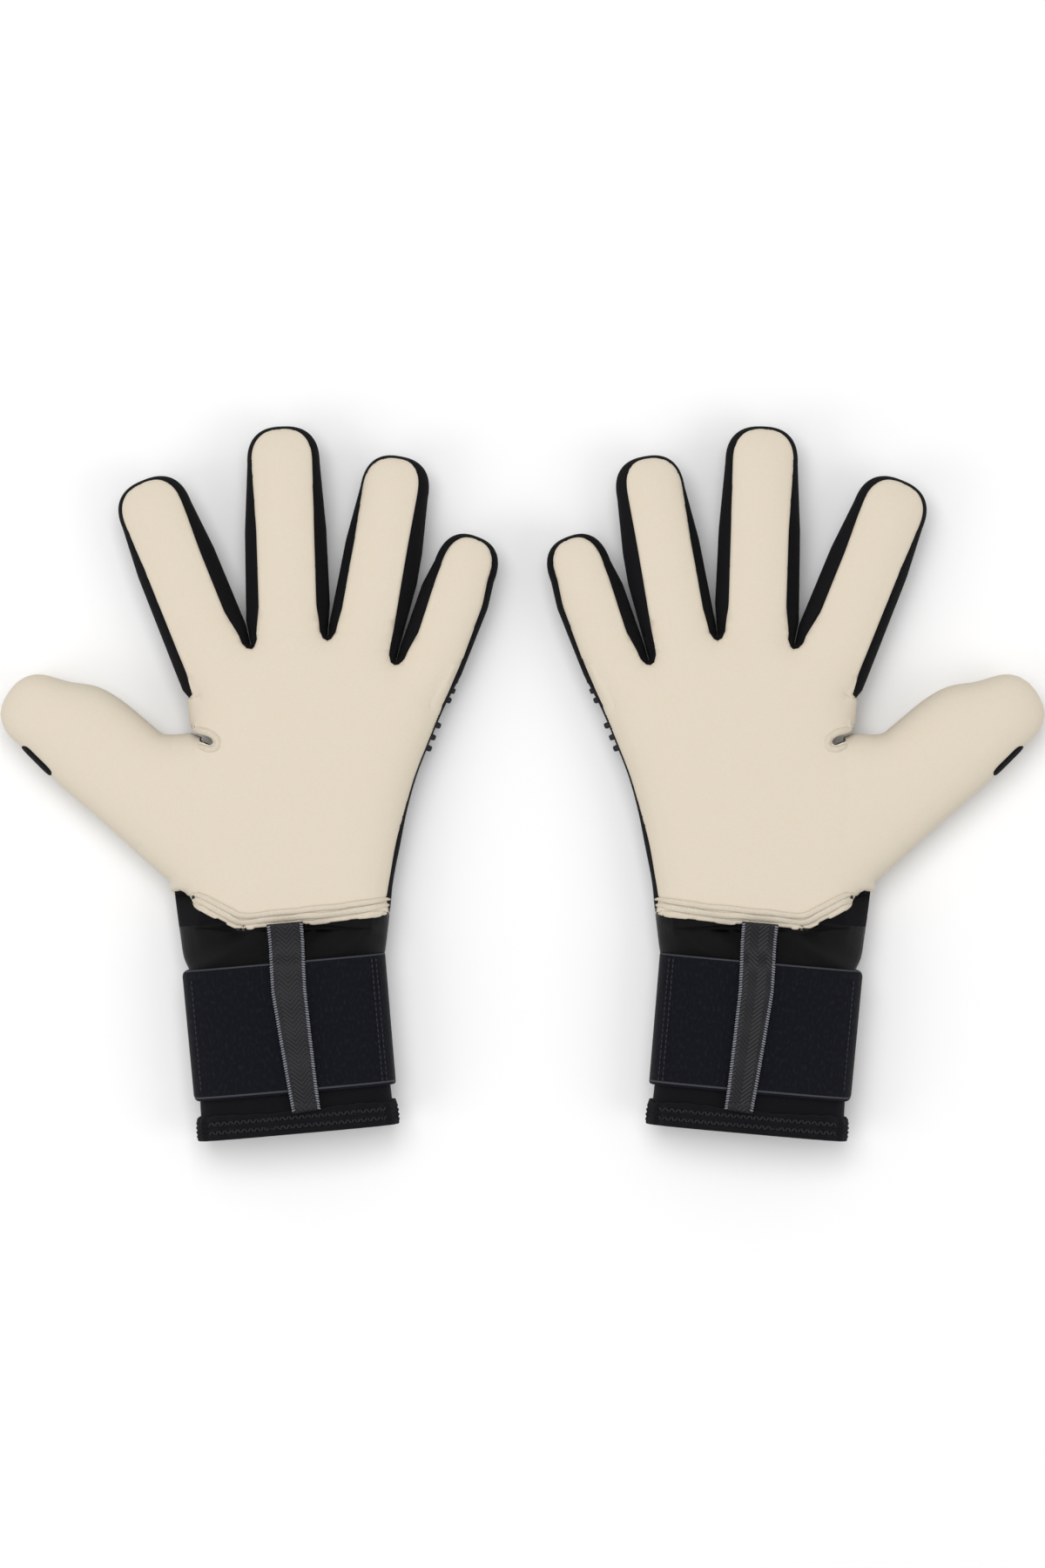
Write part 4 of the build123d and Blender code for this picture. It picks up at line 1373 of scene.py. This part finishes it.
def block(centre, half, radius, z_low, z_high, step_count=8):
    """A flat piece with rounded corners and edges, in the cuff's frame."""
    origin, right, ahead = cuff_frame()
    outline = []
    for sx, sy, start in ((1, 1, 0), (-1, 1, 90), (-1, -1, 180), (1, -1, 270)):
        for a in np.radians(np.linspace(start, start + 90, step_count)):
            outline.append((sx * (half[0] - radius), sy * (half[1] - radius), math.cos(a), math.sin(a)))
    outline = np.array(outline)
    soft = min(0.6, (z_high - z_low) / 2)
    rings = []
    for inset, z in ((soft + 3, z_low), (soft, z_low), (0.3 * soft, z_low + 0.3 * soft), (0.0, z_low + soft),
                     (0.0, z_high - soft), (0.3 * soft, z_high - 0.3 * soft), (soft, z_high), (soft + 3, z_high)):
        xy = outline[:, :2] + outline[:, 2:] * (radius - min(inset, radius - 0.2))
        flat_points = origin + (centre[0] + xy[:, :1]) * right - (centre[1] + xy[:, 1:]) * ahead
        rings.append(np.column_stack([flat_points, np.full(len(xy), z)]))
    n = len(outline)
    faces = [(i * n + k, i * n + (k + 1) % n, (i + 1) * n + (k + 1) % n, (i + 1) * n + k)
             for i in range(7) for k in range(n)]
    faces += [tuple(range(n))[::-1], tuple(7 * n + k for k in range(n))]
    points = np.vstack(rings)
    across, along = in_cuff(points[:, :2])
    return points, [f[::-1] for f in faces], np.column_stack([across, -along - STRAP_FROM])


def make_tab():
    """The strap's closing tab on the back, with its hook patch."""
    middle = (STRAP_FROM + STRAP_TO) / 2
    tab = block((-4.0, middle), (24.0, 25.0), 6.0, 0.1, 2.0)
    for side, obj in both("strap_tab", *tab[:2], strap_material(), tab[2]):
        attach(side, obj, "tab", ["strap_tab"])
    hooks = block((-2.0, middle), (19.0, 21.5), 4.0, 1.9, 2.7)
    for side, obj in both("hook_patch", *hooks[:2], rubber_material(), hooks[2]):
        attach(side, obj, "tab", ())


# ------------------------------------------------------------------ stage
def make_stage():
    """Pale floor, white background, soft light, and the camera straight above."""
    scene = bpy.context.scene
    scene.view_settings.view_transform = "Standard"
    scene.view_settings.look = "None"
    world = bpy.data.worlds.new("White room")
    scene.world = world
    world.use_nodes = True
    tree = world.node_tree
    tree.nodes.clear()
    path = node(tree, "ShaderNodeLightPath").outputs
    seen = math_node(tree, "MAXIMUM", path["Is Camera Ray"], math_node(tree, "MAXIMUM", path["Is Glossy Ray"], path["Is Transmission Ray"]))
    shown = node(tree, "ShaderNodeBackground", {"Color": (1.0, 1.0, 1.0, 1.0), "Strength": 1.0})
    lighting = node(tree, "ShaderNodeBackground", {"Color": (1.0, 1.0, 1.0, 1.0), "Strength": 0.47})
    joined_up = node(tree, "ShaderNodeMixShader", {0: seen, 1: lighting.outputs[0], 2: shown.outputs[0]})
    node(tree, "ShaderNodeOutputWorld", {0: joined_up.outputs[0]})
    floor = make_piece("floor", [(-2500, -2500, -0.4), (2500, -2500, -0.4), (2500, 2500, -0.4), (-2500, 2500, -0.4)],
                       [(0, 1, 2, 3)], floor_material(), smooth=False)
    for name, size, energy, place in (("top_light", 1.4, 24.0, (-0.2, 0.5, 2.0)), ("side_light", 1.0, 5.0, (1.3, -0.5, 1.2)),
                                      ("low_light", 1.0, 5.0, (-1.3, -0.6, 1.0))):
        lamp = bpy.data.lights.new(name, "AREA")
        lamp.size, lamp.energy = size, energy
        obj = bpy.data.objects.new(name, lamp)
        obj.location = place
        obj.rotation_euler = (-Vector(place)).to_track_quat("-Z", "Y").to_euler()
        scene.collection.objects.link(obj)
    lens = bpy.data.cameras.new("camera")
    lens.lens, lens.sensor_width = 150.0, 36.0
    lens.sensor_fit = "VERTICAL"
    lens.sensor_height = 36.0
    camera = bpy.data.objects.new("camera", lens)
    camera.location = (0.0, 0.0, 2.645)
    scene.collection.objects.link(camera)
    scene.camera = camera


def floor_material():
    """A white paper sweep."""
    material, tree, shader = new_material("White paper", 0.9, 0.1)
    shader.inputs["Base Color"].default_value = (0.93, 0.93, 0.93, 1.0)
    return material


# ------------------------------------------------------------------ the add-on
class Make(bpy.types.Operator):
    """Makes one group of the gloves' pieces."""

    bl_options = {"REGISTER", "UNDO"}
    make = None

    def execute(self, context):
        type(self).make()
        return {"FINISHED"}


def operator(identifier, label, text, function):
    return type("GLOVES_OT_" + identifier, (Make,), {"bl_idname": "gloves." + identifier, "bl_label": label, "__doc__": text,
                                                     "make": staticmethod(function)})


OPERATORS = (
    operator("hand", "Hands and digits", "Latex, gussets and back panels of both gloves", make_hand_pieces),
    operator("trim", "Slit binding and hem", "The rolled slit edge, the hem layers, the tack and the thumb vent", make_trim),
    operator("punch", "Punch zone", "Rubber pads and spikes on the backs", make_punch_zone),
    operator("cuff", "Cuff, strap and band", "The wrist strap, the sleeve under it and the elastic band", make_cuff),
    operator("tape", "Pull tape", "The tape over the strap, its looped edges and its bar tack", make_tape),
    operator("tab", "Strap tab", "The closing tab and its hook patch", make_tab),
    operator("stage", "Stage", "Floor, lights, background and camera", make_stage),
)


class GLOVES_PT_panel(bpy.types.Panel):
    """The gloves' sizes, colours and operators."""

    bl_label = "Goalkeeper gloves"
    bl_space_type = "VIEW_3D"
    bl_region_type = "UI"
    bl_category = "Gloves"

    def draw(self, context):
        for group in (context.scene.glove_sizes, context.scene.glove_colours):
            for name in group.bl_rna.properties.keys():
                if name not in ("rna_type", "name"):
                    self.layout.prop(group, name)
        for each in OPERATORS:
            self.layout.operator(each.bl_idname)


CLASSES = (GloveSizes, GloveColours, GLOVES_PT_panel) + OPERATORS


def register():
    for each in CLASSES:
        bpy.utils.register_class(each)
    bpy.types.Scene.glove_sizes = bpy.props.PointerProperty(type=GloveSizes)
    bpy.types.Scene.glove_colours = bpy.props.PointerProperty(type=GloveColours)


def unregister():
    del bpy.types.Scene.glove_colours, bpy.types.Scene.glove_sizes
    for each in reversed(CLASSES):
        bpy.utils.unregister_class(each)


def main():
    register()
    for each in OPERATORS:
        group, name = each.bl_idname.split(".")
        getattr(getattr(bpy.ops, group), name)()


if __name__ == "__main__":
    main()
